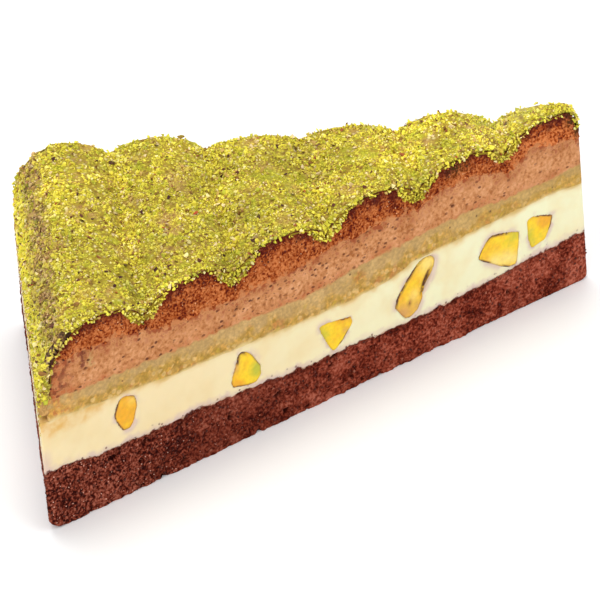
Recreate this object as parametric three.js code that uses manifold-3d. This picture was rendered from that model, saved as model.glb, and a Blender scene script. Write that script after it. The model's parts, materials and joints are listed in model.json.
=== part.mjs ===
// A cut wedge of layered pistachio cake: six layers, and the kernel pieces that show in its two cut sides.
// Millimetres, +Z up. The outer end faces -X, the ridges of the top run along Y, and the tip points to +X.
// The long cut side faces -Y and the short cut side faces +Y. The origin is the middle of the base's bounding box.
import * as THREE from "three";
import { mergeVertices } from "three/addons/utils/BufferGeometryUtils.js";
import Module from "manifold-3d";

// Plan of the wedge, measured from the corner where the outer end meets the long cut side.
const OUTER_WIDTH = 76;
const LENGTH = 120.6;
const TIP_LONG_Y = 71.3;
const TIP_SHORT_Y = 72.2;
const TIP_LEAN = 0.04; // the tip draws back by this share of the height

// Heights of the layers: [share of the length from the outer end, height at the long side, height at the short side].
const SPONGE_TOP = [
  [0, 14.5, 13.4], [0.15, 12.8, 13.6], [0.3, 12.6, 12.4], [0.5, 10.7, 11.8],
  [0.66, 10.2, 12.2], [0.78, 10.4, 12.0], [0.9, 11.6, 11.4], [1, 12.4, 12.2],
];
const CREAM_TOP = [
  [0, 26.2, 25.6], [0.15, 24.9, 24.8], [0.25, 23.4, 24.3], [0.37, 22.7, 23.4],
  [0.55, 21.8, 23.6], [0.63, 22.3, 24.2], [0.68, 24.4, 24.4], [0.9, 25.1, 24.6], [1, 24.4, 24.3],
];
const PASTE_TOP = [
  [0, 31.2, 30.4], [0.1, 30.1, 30], [0.3, 28.9, 29.4], [0.47, 27.8, 28.6],
  [0.6, 29.2, 28.4], [0.75, 30.1, 29.4], [0.93, 28.8, 29.8], [1, 29.2, 29.2],
];
const MOUSSE_TOP = [
  [0, 39.5, 38.5], [0.1, 38.9, 38.2], [0.17, 37.6, 36.4], [0.25, 34.9, 35.6], [0.43, 34.6, 34.9],
  [0.52, 36.2, 35.2], [0.64, 37.1, 36.6], [0.69, 36, 37], [0.74, 38.5, 36.2], [0.79, 38.5, 35.4],
  [0.86, 35, 36.8], [0.91, 38, 37.4], [0.96, 37, 36.6], [1, 35.2, 35.4],
];

// Ridges of the top: where the valleys lie, and the heights of valleys and crests, at the long and at the short side.
const VALLEYS = [
  { longX: 22.6, shortX: 21.0, longZ: 40.9, shortZ: 40.3 },
  { longX: 41.9, shortX: 41.0, longZ: 40.8, shortZ: 39.6 },
  { longX: 61.7, shortX: 61.0, longZ: 40.5, shortZ: 40.3 },
  { longX: 81.8, shortX: 81.0, longZ: 40.6, shortZ: 40.1 },
  { longX: 101.5, shortX: 101.2, longZ: 40.2, shortZ: 40.0 },
];
const CRESTS = [
  { longZ: 46.3, shortZ: 44.6 },
  { longZ: 45.6, shortZ: 44.1 },
  { longZ: 45.5, shortZ: 42.4 },
  { longZ: 45.7, shortZ: 43.0 },
  { longZ: 44.8, shortZ: 44.3 },
  { longZ: 44.7, shortZ: 44.3 },
];
const FIRST_CREST_SHARE = 0.5; // where a crest lies, as a share of its ridge's width
const MIDDLE_CREST_SHARE = 0.5;
const LAST_CREST_SHARE = 0.62;
const LONG_ROUNDNESS = 2; // 2 makes an ellipse of a ridge, and less makes it steeper
const SHORT_ROUNDNESS = 1.75;
const SHOULDER_ROUNDNESS = 2.1; // where the top bends down to the outer end
const TIP_ROUNDNESS = 3.2;

// Faces of the ridged top, drawn in from the coat's outer face: from the outer end and the tip, and down from the top.
const COAT_OUTER = { rim: 0, tip: 0, crestDrop: 0, valleyDrop: 0, shoulderZ: 30, tipShoulderZ: 38.8 };
const COAT_INNER = { rim: 2.5, tip: 0.8, crestDrop: 1.1, valleyDrop: 1.6, shoulderZ: 33.3, tipShoulderZ: 38.8 };
const COCOA_TOP = { rim: 2.8, tip: 1.1, crestDrop: 1.4, valleyDrop: 1.9, shoulderZ: 33, tipShoulderZ: 38.5 };
const COAT_HEM_Z = 26.6; // where the coat ends on the outer end
const COCOA_LEAST = 0.8; // thinnest place of the cocoa layer

const BASE_ROUNDING = 4.2; // radius of the sponge's lower edge at the outer end
const TIP_BASE_ROUNDING = 1.6;

// Kernel pieces in the cream. Corners are measured from the middle of each piece, across and up.
const KERNEL_SHAPES = {
  oval: { depth: 4.5, corners: [[-1, 4.3], [2.3, 3], [3, 0.2], [0.9, -4.4], [-1.4, -3.7], [-3, 0.4]] },
  pear: { depth: 5, corners: [[-1.8, 4.7], [1.2, 3.9], [4.1, -3.2], [2.2, -4.7], [-1.2, -4.3], [-4, -2.4], [-2.6, 2.2]] },
  fang: { depth: 4.5, corners: [[-4.3, 3.8], [4.3, 1.9], [1.6, -2.4], [-1.1, -3.8], [-3.3, -0.4]] },
  half: {
    depth: 4.2,
    corners: [[1.6, 6.8], [4.9, 6.6], [5.3, 2.6], [2.1, -3.3], [-0.6, -6.8], [-3.6, -5.8], [-5.6, -1.3], [-2.6, 3.2]],
  },
  chunk: { depth: 5, corners: [[-2.2, 4.8], [5, 2.6], [5.6, -1.2], [3.2, -4.9], [-3.5, -1.5], [-5.7, 0.6], [-4.6, 2.6]] },
  wedge: { depth: 4.2, corners: [[-3.2, 3.6], [3.2, 1.5], [0.9, -3.4], [-2.6, -3.6]] },
};
const LONG_SIDE_KERNELS = [
  { shape: "oval", along: 20.6, z: 20.1, turn: 0, size: 0.95 },
  { shape: "pear", along: 50.2, z: 17.2, turn: 0, size: 0.94 },
  { shape: "fang", along: 73.5, z: 15.2, turn: 0, size: 0.96 },
  { shape: "half", along: 93.8, z: 17.3, turn: 0, size: 0.92 },
  { shape: "chunk", along: 116.2, z: 16.9, turn: 0, size: 0.96 },
  { shape: "wedge", along: 127.5, z: 17.9, turn: 0, size: 1 },
];
const SHORT_SIDE_KERNELS = [
  { shape: "chunk", along: 17.5, z: 18.6, turn: 55, size: 0.9 },
  { shape: "wedge", along: 37.5, z: 17.6, turn: 160, size: 1 },
  { shape: "half", along: 58, z: 17.6, turn: -60, size: 0.88 },
  { shape: "oval", along: 79.5, z: 18.2, turn: 35, size: 0.9 },
  { shape: "fang", along: 97, z: 17.8, turn: -70, size: 0.9 },
];
const KERNEL_POINTS = 18; // steps round a kernel's outline
const KERNEL_TAPER = [[0, 1], [0.55, 0.98], [0.85, 0.76], [1, 0.42]]; // [share of the depth, share of the outline]
const POCKET_PROUD = 1; // how far a pocket's cutter stands out of the cut side

const GAP = 0.3; // between pieces that are shaped to one another
const MERGE_DISTANCE = 1e-4;
const ROWS_ACROSS = 4; // sections from the long side to the short one
const RIDGE_STEPS = 6; // steps in each half of a ridge
const SHOULDER_STEPS = 8;
const LAYER_STEPS = 36;

const COLOURS = {
  chocolate_sponge: { color: "#5b2a22", roughness: 0.95 },
  vanilla_cream: { color: "#f3e6c3", roughness: 0.4 },
  pistachio_paste: { color: "#bfa05a", roughness: 0.5 },
  chocolate_mousse: { color: "#b5764c", roughness: 0.6 },
  cocoa_layer: { color: "#8a432a", roughness: 0.9 },
  pistachio_coat: { color: "#b9ac3c", roughness: 0.9 },
  kernel: { color: "#e2b52a", roughness: 0.5 },
};

const wasm = await Module();
wasm.setup();

const { lerp, smoothstep, degToRad } = THREE.MathUtils;
const longSideY = (x) => (TIP_LONG_Y * x) / LENGTH;
const shortSideY = (x) => lerp(OUTER_WIDTH, TIP_SHORT_Y, x / LENGTH);
const tipX = (z) => LENGTH - TIP_LEAN * z;

// Height of a layer at a share of the length, eased from one listed place to the next, and blended across the wedge.
function heightAtShare(heights, share, across) {
  const next = Math.max(1, heights.findIndex(([place]) => place >= share));
  const [from, longFrom, shortFrom] = heights[next - 1];
  const [to, longTo, shortTo] = heights[next];
  const t = smoothstep(share, from, to);
  return lerp(lerp(longFrom, longTo, t), lerp(shortFrom, shortTo, t), across);
}

// Where a layer's top ends at the tip.
const layerEndX = (heights, across) => tipX(heightAtShare(heights, 1, across));

// Height of a layer at a distance from the outer end.
function heightAt(heights, x, across) {
  return heightAtShare(heights, Math.min(1, x / layerEndX(heights, across)), across);
}

// A rounded crest: 1 in the middle, 0 at offset -1 and 1.
const crown = (offset, roundness) => Math.max(0, 1 - Math.abs(offset) ** roundness) ** (1 / roundness);

// Offsets from 0 to 1, closest together near 1, where a crown is steepest.
const easedOffsets = (steps) => Array.from({ length: steps + 1 }, (_, i) => Math.sin(((i / steps) * Math.PI) / 2));

// Points from a crest out to its foot, the crest's own point first.
function halfCrest([crestX, crestZ], [footX, footZ], steps, roundness) {
  return easedOffsets(steps).map((offset) => [
    lerp(crestX, footX, offset), lerp(footZ, crestZ, crown(offset, roundness)),
  ]);
}

// One face of the ridged top at a share of the way across: [x, z] points from the outer end to the tip.
function ridgedSection(face, across) {
  const blend = (long, short) => lerp(long, short, across);
  const roundness = blend(LONG_ROUNDNESS, SHORT_ROUNDNESS);
  const outerFoot = [face.rim, face.shoulderZ];
  const tipFoot = [tipX(face.tipShoulderZ) - face.tip, face.tipShoulderZ];
  const feet = VALLEYS.map((v) => [blend(v.longX, v.shortX), blend(v.longZ, v.shortZ) - face.valleyDrop]);
  const crestHeights = CRESTS.map((c) => blend(c.longZ, c.shortZ) - face.crestDrop);
  const last = crestHeights.length - 1;
  const edgeShares = { 0: FIRST_CREST_SHARE, [last]: LAST_CREST_SHARE };
  return crestHeights.flatMap((crestZ, k) => {
    const before = k === 0 ? outerFoot : feet[k - 1];
    const after = k === last ? tipFoot : feet[k];
    const crest = [lerp(before[0], after[0], edgeShares[k] ?? MIDDLE_CREST_SHARE), crestZ];
    const rising = k === 0
      ? halfCrest(crest, before, SHOULDER_STEPS, SHOULDER_ROUNDNESS)
      : halfCrest(crest, before, RIDGE_STEPS, roundness);
    const falling = k === last
      ? halfCrest(crest, after, SHOULDER_STEPS, TIP_ROUNDNESS)
      : halfCrest(crest, after, RIDGE_STEPS, roundness).slice(0, -1);
    return [...rising.slice(1).reverse(), ...falling];
  });
}

// A layer's top from its start at the outer end to the tip: [x, z] points at even steps.
function layerSection(heights, across, startX = 0) {
  const endX = layerEndX(heights, across);
  return Array.from({ length: LAYER_STEPS + 1 }, (_, i) => {
    const x = lerp(startX, endX, i / LAYER_STEPS);
    return [x, heightAt(heights, x, across)];
  });
}

// The flat underside, which curves up at the outer end and at the tip.
function undersideSection() {
  const startRounding = [0, 0.3, 1, 2.2, BASE_ROUNDING];
  const endRounding = [TIP_BASE_ROUNDING, 0.7, 0.2, 0];
  const rise = (radius, x) => radius - Math.sqrt(radius ** 2 - (radius - x) ** 2);
  const flatSteps = LAYER_STEPS + 2 - startRounding.length - endRounding.length;
  const flatX = (i) => lerp(BASE_ROUNDING, LENGTH - TIP_BASE_ROUNDING, i / flatSteps);
  return [
    ...startRounding.map((x) => [x, rise(BASE_ROUNDING, x)]),
    ...Array.from({ length: flatSteps - 1 }, (_, i) => [flatX(i + 1), 0]),
    ...endRounding.map((x) => [LENGTH - x, rise(TIP_BASE_ROUNDING, x)]),
  ];
}

function closedGeometry(positions, triangles) {
  const geometry = new THREE.BufferGeometry();
  geometry.setAttribute("position", new THREE.Float32BufferAttribute(positions, 3));
  geometry.setIndex(triangles);
  return mergeVertices(geometry, MERGE_DISTANCE);
}

// A closed solid between an upper and a lower section, swept from the long side to the short one.
function sweptSolid(upperAt, lowerAt) {
  const positions = [];
  const triangles = [];
  const count = upperAt(0).length;
  const last = ROWS_ACROSS - 1;
  for (let row = 0; row < ROWS_ACROSS; row++) {
    const across = row / last;
    for (const [x, z] of [...upperAt(across), ...lowerAt(across)])
      positions.push(x, lerp(longSideY(x), shortSideY(x), across), z);
  }
  const upper = (row, i) => row * 2 * count + i;
  const lower = (row, i) => upper(row, i) + count;
  const quad = (a, b, c, d) => triangles.push(a, b, c, a, c, d);
  for (let i = 0; i < count - 1; i++) {
    for (let row = 0; row < last; row++) {
      quad(upper(row, i), upper(row, i + 1), upper(row + 1, i + 1), upper(row + 1, i));
      quad(lower(row, i), lower(row + 1, i), lower(row + 1, i + 1), lower(row, i + 1));
    }
    quad(upper(0, i), lower(0, i), lower(0, i + 1), upper(0, i + 1));
    quad(upper(last, i), upper(last, i + 1), lower(last, i + 1), lower(last, i));
  }
  const tip = count - 1;
  for (let row = 0; row < last; row++) {
    quad(upper(row, 0), upper(row + 1, 0), lower(row + 1, 0), lower(row, 0));
    quad(upper(row, tip), lower(row, tip), lower(row + 1, tip), upper(row + 1, tip));
  }
  return closedGeometry(positions, triangles);
}

// A kernel piece with its cut face at z = proud. Its body narrows towards -z, and grow swells it to cut its pocket.
function kernelGeometry({ shape, size }, grow = 0, proud = 0) {
  const { corners, depth } = KERNEL_SHAPES[shape];
  const curve = new THREE.CatmullRomCurve3(corners.map(([x, y]) => new THREE.Vector3(x, y, 0)), true, "centripetal");
  const outline = curve.getPoints(KERNEL_POINTS).slice(0, -1);
  const backZ = -(depth * size + grow);
  const rings = KERNEL_TAPER.map(([share, scale]) =>
    outline.map((point) => {
      const { x, y } = point.clone().setLength(point.length() * size * scale + grow);
      return [x, y, lerp(proud, backZ, share)];
    }),
  );
  const centres = [[0, 0, proud], [0, 0, backZ]];
  const n = outline.length;
  const backRing = (rings.length - 1) * n;
  const frontCentre = rings.length * n;
  const triangles = [];
  for (let i = 0; i < n; i++) {
    const next = (i + 1) % n;
    for (let start = 0; start < backRing; start += n)
      triangles.push(start + i, start + next, start + n + next, start + i, start + n + next, start + n + i);
    triangles.push(frontCentre, next, i);
    triangles.push(frontCentre + 1, backRing + i, backRing + next);
  }
  return closedGeometry([...rings, centres].flat(2), triangles);
}

// The place of a kernel on its cut side: its face in the side, its body reaching into the wedge.
function kernelPlace({ along, z, turn, onLongSide }) {
  const [startY, endY] = onLongSide ? [0, TIP_LONG_Y] : [OUTER_WIDTH, TIP_SHORT_Y];
  const towardsTip = new THREE.Vector3(LENGTH, endY - startY, 0).normalize();
  const up = new THREE.Vector3(0, 0, 1);
  const across = towardsTip.clone().multiplyScalar(onLongSide ? 1 : -1);
  const outwards = across.clone().cross(up);
  const place = towardsTip.clone().multiplyScalar(along).add(new THREE.Vector3(0, startY, z));
  return new THREE.Matrix4()
    .makeBasis(across, up, outwards)
    .setPosition(place)
    .multiply(new THREE.Matrix4().makeRotationZ(degToRad(turn)));
}

// The merged, closed geometry as a solid that can be cut.
function toSolid(geometry) {
  const vertProperties = geometry.getAttribute("position").array;
  const triVerts = new Uint32Array(geometry.index.array);
  return new wasm.Manifold(new wasm.Mesh({ numProp: 3, vertProperties, triVerts }));
}

function fromSolid(solid) {
  const { vertProperties, triVerts } = solid.getMesh();
  return closedGeometry(Array.from(vertProperties), Array.from(triVerts));
}

function pieceMesh(name, geometry, finish = name) {
  geometry.computeVertexNormals();
  const mesh = new THREE.Mesh(geometry, new THREE.MeshStandardMaterial({ metalness: 0, ...COLOURS[finish] }));
  mesh.name = name;
  return mesh;
}

const spongeTop = (across) => layerSection(SPONGE_TOP, across);
const creamTop = (across) => layerSection(CREAM_TOP, across);
const pasteTop = (across) => layerSection(PASTE_TOP, across, COCOA_TOP.rim);
const pasteBottom = (across) => pasteTop(across).map(([x]) => [x, heightAt(CREAM_TOP, x, across) + GAP]);
const cocoaTop = (across) => ridgedSection(COCOA_TOP, across);
const mousseTop = (across) =>
  cocoaTop(across).map(([x, z]) => [x, Math.min(heightAt(MOUSSE_TOP, x, across), z - COCOA_LEAST)]);
const mousseBottom = (across) => cocoaTop(across).map(([x]) => [x, heightAt(PASTE_TOP, x, across) + GAP]);
const coatOuter = (across) => [[COAT_OUTER.rim, COAT_HEM_Z], ...ridgedSection(COAT_OUTER, across)];
const coatInner = (across) => [[COAT_INNER.rim, COAT_HEM_Z], ...ridgedSection(COAT_INNER, across)];

const kernels = [
  ...LONG_SIDE_KERNELS.map((kernel, i) => ({ ...kernel, onLongSide: true, name: `kernel_long_side_${i + 1}` })),
  ...SHORT_SIDE_KERNELS.map((kernel, i) => ({ ...kernel, onLongSide: false, name: `kernel_short_side_${i + 1}` })),
];

// The cream, with a pocket for each kernel piece.
function creamGeometry() {
  const cream = toSolid(sweptSolid(creamTop, spongeTop));
  const cutPocket = (rest, kernel) =>
    rest.subtract(toSolid(kernelGeometry(kernel, GAP, POCKET_PROUD).applyMatrix4(kernelPlace(kernel))));
  return fromSolid(kernels.reduce(cutPocket, cream));
}

function kernelMesh(kernel) {
  const mesh = pieceMesh(kernel.name, kernelGeometry(kernel), "kernel");
  mesh.applyMatrix4(kernelPlace(kernel));
  return mesh;
}

const cake = new THREE.Group();
cake.add(
  pieceMesh("chocolate_sponge", sweptSolid(spongeTop, undersideSection)),
  pieceMesh("vanilla_cream", creamGeometry()),
  pieceMesh("pistachio_paste", sweptSolid(pasteTop, pasteBottom)),
  pieceMesh("chocolate_mousse", sweptSolid(mousseTop, mousseBottom)),
  pieceMesh("cocoa_layer", sweptSolid(cocoaTop, mousseTop)),
  pieceMesh("pistachio_coat", sweptSolid(coatOuter, coatInner)),
  ...kernels.map(kernelMesh),
);

// Bring the middle of the base to the origin.
const middle = new THREE.Box3().setFromObject(cake).getCenter(new THREE.Vector3());
cake.position.set(-middle.x, -middle.y, 0);

export default cake;
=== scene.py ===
"""Looks of a cut wedge of layered pistachio cake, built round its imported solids.

Chocolate sponge, vanilla cream with kernel pieces, pistachio paste, chocolate mousse and cocoa crumb lie on
each other under a ridged coat of ground pistachio. Places come from the frame. Sizes are in millimetres, and
only finished meshes are in metres.
"""

import itertools
import json
import logging
import math
from collections.abc import Callable, Sequence
from dataclasses import dataclass, field
from enum import Enum
from functools import reduce

import bmesh
import bpy
import numpy as np
from mathutils import Matrix, Vector

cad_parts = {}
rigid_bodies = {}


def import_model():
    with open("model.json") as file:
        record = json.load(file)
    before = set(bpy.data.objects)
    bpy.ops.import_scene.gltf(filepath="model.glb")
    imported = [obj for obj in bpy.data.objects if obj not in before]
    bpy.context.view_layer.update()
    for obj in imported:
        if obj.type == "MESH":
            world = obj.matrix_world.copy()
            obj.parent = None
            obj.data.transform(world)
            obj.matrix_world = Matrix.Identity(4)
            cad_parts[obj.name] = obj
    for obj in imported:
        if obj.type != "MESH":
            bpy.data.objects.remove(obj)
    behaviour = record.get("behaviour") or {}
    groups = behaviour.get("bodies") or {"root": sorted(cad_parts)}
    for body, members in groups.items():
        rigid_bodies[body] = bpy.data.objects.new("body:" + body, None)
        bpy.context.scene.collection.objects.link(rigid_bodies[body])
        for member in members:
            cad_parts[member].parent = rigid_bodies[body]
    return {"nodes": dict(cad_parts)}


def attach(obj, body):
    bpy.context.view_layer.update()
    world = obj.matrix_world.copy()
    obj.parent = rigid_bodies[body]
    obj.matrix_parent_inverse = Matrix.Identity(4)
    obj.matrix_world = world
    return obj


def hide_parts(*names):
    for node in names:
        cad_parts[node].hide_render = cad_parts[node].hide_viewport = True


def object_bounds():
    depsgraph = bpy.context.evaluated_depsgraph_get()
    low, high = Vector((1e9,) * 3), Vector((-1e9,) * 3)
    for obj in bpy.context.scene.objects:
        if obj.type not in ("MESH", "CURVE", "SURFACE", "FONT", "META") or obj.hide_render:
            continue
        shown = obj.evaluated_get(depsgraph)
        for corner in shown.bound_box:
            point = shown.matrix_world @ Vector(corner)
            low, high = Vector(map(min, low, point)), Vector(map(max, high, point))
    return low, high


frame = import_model()
CAD_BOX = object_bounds()

LOG = logging.getLogger("cake")
MM = 0.001
TOUCH = 0.02  # points this close to a cut side lie in it
GAP = 0.3  # the solids stand this far apart where two layers meet, and the looks close it
COCOA_RISE = 0.45  # lifts the cocoa's looks into the coat's inner face at the cut sides
PASTE_LAP = 0.9  # the paste smears this far into the coat's skirt
SEAM_REACH = 0.7  # over this distance from a neighbour, a layer's relief turns into the one they share
TABLE_SIZE = 256
TURN = 2 * math.pi

Colour = tuple[int, int, int]
Stops = tuple[tuple[float, Colour], ...]  # colours and their places from 0 to 1
Numbers = np.ndarray | float
Socket = bpy.types.NodeSocket


def smooth(low: float, high: float, value: np.ndarray) -> np.ndarray:
    """Eased step from 0 at low to 1 at high."""
    share = np.clip((value - low) / (high - low), 0, 1)
    return share * share * (3 - 2 * share)


def blend(start: Numbers, end: Numbers, share: Numbers) -> Numbers:
    """Value at a share of the way from start to end."""
    return start + (end - start) * share


def turned(angle: np.ndarray, middle: float) -> np.ndarray:
    """How far angles are from a middle one, the shorter way round."""
    return np.abs((angle - middle + math.pi) % TURN - math.pi)


class Noise:
    """Seeded gradient noise in space, for lumps and waves."""

    def __init__(self, seed: int) -> None:
        """Draw the tables.

        Args:
            seed: the same seed gives the same noise.
        """
        draw = np.random.default_rng(seed)
        slopes = draw.normal(size=(TABLE_SIZE, 3))
        self.order = draw.permutation(TABLE_SIZE)
        self.slopes = slopes / np.linalg.norm(slopes, axis=1, keepdims=True)
        self.turn = np.linalg.qr(draw.normal(size=(3, 3)))[0]  # keeps the cells off the cake's own axes

    def slot(self, cells: np.ndarray) -> np.ndarray:
        """Table places of whole-numbered cells."""
        first = self.order[cells[:, 0] % TABLE_SIZE]
        second = self.order[(first + cells[:, 1]) % TABLE_SIZE]
        return self.order[(second + cells[:, 2]) % TABLE_SIZE]

    def waves(self, points: np.ndarray, size: float) -> np.ndarray:
        """Smooth noise, about -1 to 1.

        Args:
            points: places in space.
            size: how far apart the waves are.

        Returns:
            One value for each point.
        """
        scaled = points @ self.turn / size
        cells = np.floor(scaled).astype(int)
        inside = scaled - cells
        fade = inside**3 * (inside * (inside * 6 - 15) + 10)
        total = np.zeros(len(points))
        for corner in itertools.product((0, 1), repeat=3):
            offset = np.array(corner)
            slope = self.slopes[self.slot(cells + offset)]
            weight = np.prod(np.where(offset == 1, fade, 1 - fade), axis=1)
            total += weight * np.sum(slope * (inside - offset), axis=1)
        return total * 1.7

    def lumps(self, points: np.ndarray, size: float, layers: int = 3) -> np.ndarray:
        """Noise with finer noise laid over it.

        Args:
            points: places in space.
            size: size of the largest lumps.
            layers: how many times the size is halved.

        Returns:
            One value for each point, about -1 to 1.
        """
        return sum(self.waves(points + 17 * k, size / 2**k) / 2**k for k in range(layers))


class Grains:
    """Seeded cells in space, for crumb and pores."""

    def __init__(self, seed: int) -> None:
        """Draw the tables.

        Args:
            seed: the same seed gives the same cells.
        """
        draw = np.random.default_rng(seed)
        self.noise = Noise(seed + 1)
        self.jitter = draw.random((TABLE_SIZE, 3))
        self.marks = draw.random(TABLE_SIZE)

    def nearest(self, points: np.ndarray, size: float) -> tuple[np.ndarray, np.ndarray]:
        """Find the grain that each point belongs to.

        Args:
            points: places in space.
            size: size of a grain.

        Returns:
            Distances to the nearest grain's middle as shares of the size, and that grain's random mark.
        """
        scaled = points / size
        cells = np.floor(scaled).astype(int)
        nearest = np.full(len(points), np.inf)
        mark = np.zeros(len(points))
        for step in itertools.product((-1, 0, 1), repeat=3):
            cell = cells + np.array(step)
            slot = self.noise.slot(cell)
            distance = np.linalg.norm(scaled - cell - self.jitter[slot], axis=1)
            mark = np.where(distance < nearest, self.marks[slot], mark)
            nearest = np.minimum(distance, nearest)
        return nearest, mark


class Side(Enum):
    """The four upright sides, in order round the wedge seen from above."""

    LONG = 0
    TIP = 1
    SHORT = 2
    RIM = 3


class Edge(Enum):
    """The faces that part the layers, from the base up."""

    BASE = 0
    SPONGE_TOP = 1
    CREAM_TOP = 2
    PASTE_TOP = 3
    MOUSSE_TOP = 4
    COCOA_TOP = 5


def mesh_points(mesh: bpy.types.Mesh) -> np.ndarray:
    """A mesh's points, in metres."""
    points = np.zeros(len(mesh.vertices) * 3)
    mesh.vertices.foreach_get("co", points)
    return points.reshape(-1, 3)


def move_points(mesh: bpy.types.Mesh, points: np.ndarray) -> None:
    """Put a mesh's points at places in metres, kept inside the CAD box."""
    mesh.vertices.foreach_set("co", np.clip(points, *CAD_BOX).ravel())
    mesh.update()


def node_points(name: str) -> np.ndarray:
    """Corners of a CAD node, in millimetres."""
    return mesh_points(frame["nodes"][name].data) / MM


@dataclass(frozen=True)
class SidePlane:
    """One upright side, from a start to an end corner in plan. Along, up and outwards are right-handed."""

    start: tuple[float, float]
    end: tuple[float, float]

    @property
    def direction(self) -> np.ndarray:
        """Unit vector from start to end."""
        way = np.array(self.end) - np.array(self.start)
        return way / np.linalg.norm(way)

    @property
    def outwards(self) -> np.ndarray:
        """Unit normal in plan."""
        return np.array([self.direction[1], -self.direction[0]])

    def flatten(self, points: np.ndarray) -> tuple[np.ndarray, np.ndarray]:
        """Distance along the side and distance outwards from it, of points in space."""
        offset = points[:, :2] - np.array(self.start)
        return offset @ self.direction, offset @ self.outwards

    def place(self, along: np.ndarray, height: np.ndarray, out: np.ndarray) -> np.ndarray:
        """Points in space from places on the side.

        Args:
            along: distances along the side.
            height: heights.
            out: distances outwards.

        Returns:
            Points, one in each row.
        """
        plan = np.array(self.start) + np.outer(along, self.direction) + np.outer(out, self.outwards)
        return np.column_stack([plan, height])


@dataclass(frozen=True)
class WedgePlan:
    """Outline of the wedge from above."""

    rim_x: float
    tip_x: float
    long_corner_y: float
    short_corner_y: float
    long_tip_y: float
    short_tip_y: float
    tip_lean: float = 0.04  # the tip draws back by this share of the height

    @classmethod
    def from_frame(cls) -> "WedgePlan":
        """Measure the outline on the sponge."""
        points = node_points("chocolate_sponge")
        low, high = points.min(0), points.max(0)
        tip = points[points[:, 0] > high[0] - TOUCH]
        return cls(low[0], high[0], low[1], high[1], tip[:, 1].min(), tip[:, 1].max())

    def side(self, side: Side) -> SidePlane:
        """One of the four sides."""
        corners = [
            (self.rim_x, self.long_corner_y),
            (self.tip_x, self.long_tip_y),
            (self.tip_x, self.short_tip_y),
            (self.rim_x, self.short_corner_y),
        ]
        return SidePlane(corners[side.value], corners[(side.value + 1) % len(corners)])

    def across(self, x: np.ndarray, share: np.ndarray) -> np.ndarray:
        """Y at a share of the way from the long side to the short one."""
        way = (x - self.rim_x) / (self.tip_x - self.rim_x)
        long_y = blend(self.long_corner_y, self.long_tip_y, way)
        return blend(long_y, blend(self.short_corner_y, self.short_tip_y, way), share)

    def width(self, x: np.ndarray) -> np.ndarray:
        """Distance from the long side to the short one."""
        return self.across(x, 1.0) - self.across(x, 0.0)

    def along(self, start_x: float, share: np.ndarray, height: np.ndarray) -> np.ndarray:
        """X at a share of the way from a start to the leaning tip."""
        return blend(start_x, self.tip_x - self.tip_lean * height, share)


@dataclass
class LayerStack:
    """Heights of the faces between the layers, read from the cut sides of the solids and made uneven."""

    plan: WedgePlan
    waviness: dict[Edge, tuple[float, float]] = field(
        default_factory=lambda: {
            Edge.BASE: (0.0, 3.0),
            Edge.SPONGE_TOP: (0.42, 3.4),
            Edge.CREAM_TOP: (0.3, 6.0),
            Edge.PASTE_TOP: (0.22, 5.0),
            Edge.MOUSSE_TOP: (0.75, 3.6),
            Edge.COCOA_TOP: (0.1, 3.0),
        }
    )  # how far each face wanders up and down, and over what distance
    sponge_middle: float = 6.0  # a height between the sponge's two faces
    noise_step: float = 40.0  # sets the faces' waves apart from each other
    seam_depth: float = 0.18
    seam_swing: float = 0.14
    seam_size: float = 2.6
    seed: int = 11

    def __post_init__(self) -> None:
        """Read the curves."""
        self.noise = Noise(self.seed)
        self.curves = {
            (edge, side): self.curve(edge, self.plan.side(side))
            for edge in Edge
            for side in (Side.LONG, Side.SHORT)
        }

    def curve(self, edge: Edge, plane: SidePlane) -> tuple[np.ndarray, np.ndarray]:
        """Follow a face along a cut side.

        Args:
            edge: which face.
            plane: the cut side.

        Returns:
            X places and heights, in rising order of X.
        """
        node, highest, lower = {
            Edge.BASE: ("chocolate_sponge", False, 0.0),
            Edge.SPONGE_TOP: ("chocolate_sponge", True, 0.0),
            Edge.CREAM_TOP: ("pistachio_paste", False, GAP),
            Edge.PASTE_TOP: ("chocolate_mousse", False, GAP),
            Edge.MOUSSE_TOP: ("chocolate_mousse", True, 0.0),
            Edge.COCOA_TOP: ("cocoa_layer", True, 0.0),
        }[edge]
        points = node_points(node)
        points = points[np.abs(plane.flatten(points)[1]) < TOUCH]
        if node == "chocolate_sponge":
            points = points[(points[:, 2] > self.sponge_middle) == highest]
        places, index = np.unique(np.round(points[:, 0], 2), return_inverse=True)
        worst, pick = (-np.inf, np.maximum) if highest else (np.inf, np.minimum)
        heights = np.full(len(places), worst)
        pick.at(heights, index, points[:, 2])
        if edge is Edge.CREAM_TOP:
            places = np.append(self.plan.rim_x, places)
            heights = np.append(node_points("vanilla_cream")[:, 2].max() + GAP, heights)
        return places, heights - lower

    def height(self, edge: Edge, x: np.ndarray, share: np.ndarray) -> np.ndarray:
        """Height of a face.

        Args:
            edge: which face.
            x: places along the wedge.
            share: shares of the way from the long side to the short one.

        Returns:
            One height for each place.
        """
        ends = (np.interp(x, *self.curves[edge, side]) for side in (Side.LONG, Side.SHORT))
        even = blend(*ends, share)
        if edge is Edge.COCOA_TOP:
            inside = np.minimum(share, 1 - share) * self.plan.width(x)
            even = even + COCOA_RISE * smooth(2.0, 0.5, inside)
        depth, size = self.waviness[edge]
        apart = np.full(len(x), self.noise_step * edge.value)
        place = np.column_stack([x, self.plan.across(x, share), apart])
        return even + depth * self.noise.lumps(place, size, 4)

    def seam(self, points: np.ndarray) -> np.ndarray:
        """Distance outwards that two layers share where they meet."""
        return self.seam_swing * self.noise.lumps(points, self.seam_size) - self.seam_depth

    def valleys(self, side: Side) -> np.ndarray:
        """X places on a cut side where the ridges' valleys are."""
        x, height = self.curves[Edge.COCOA_TOP, side]
        lowest = (height[1:-1] < height[:-2]) & (height[1:-1] <= height[2:])
        return x[1:-1][lowest]


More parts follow.
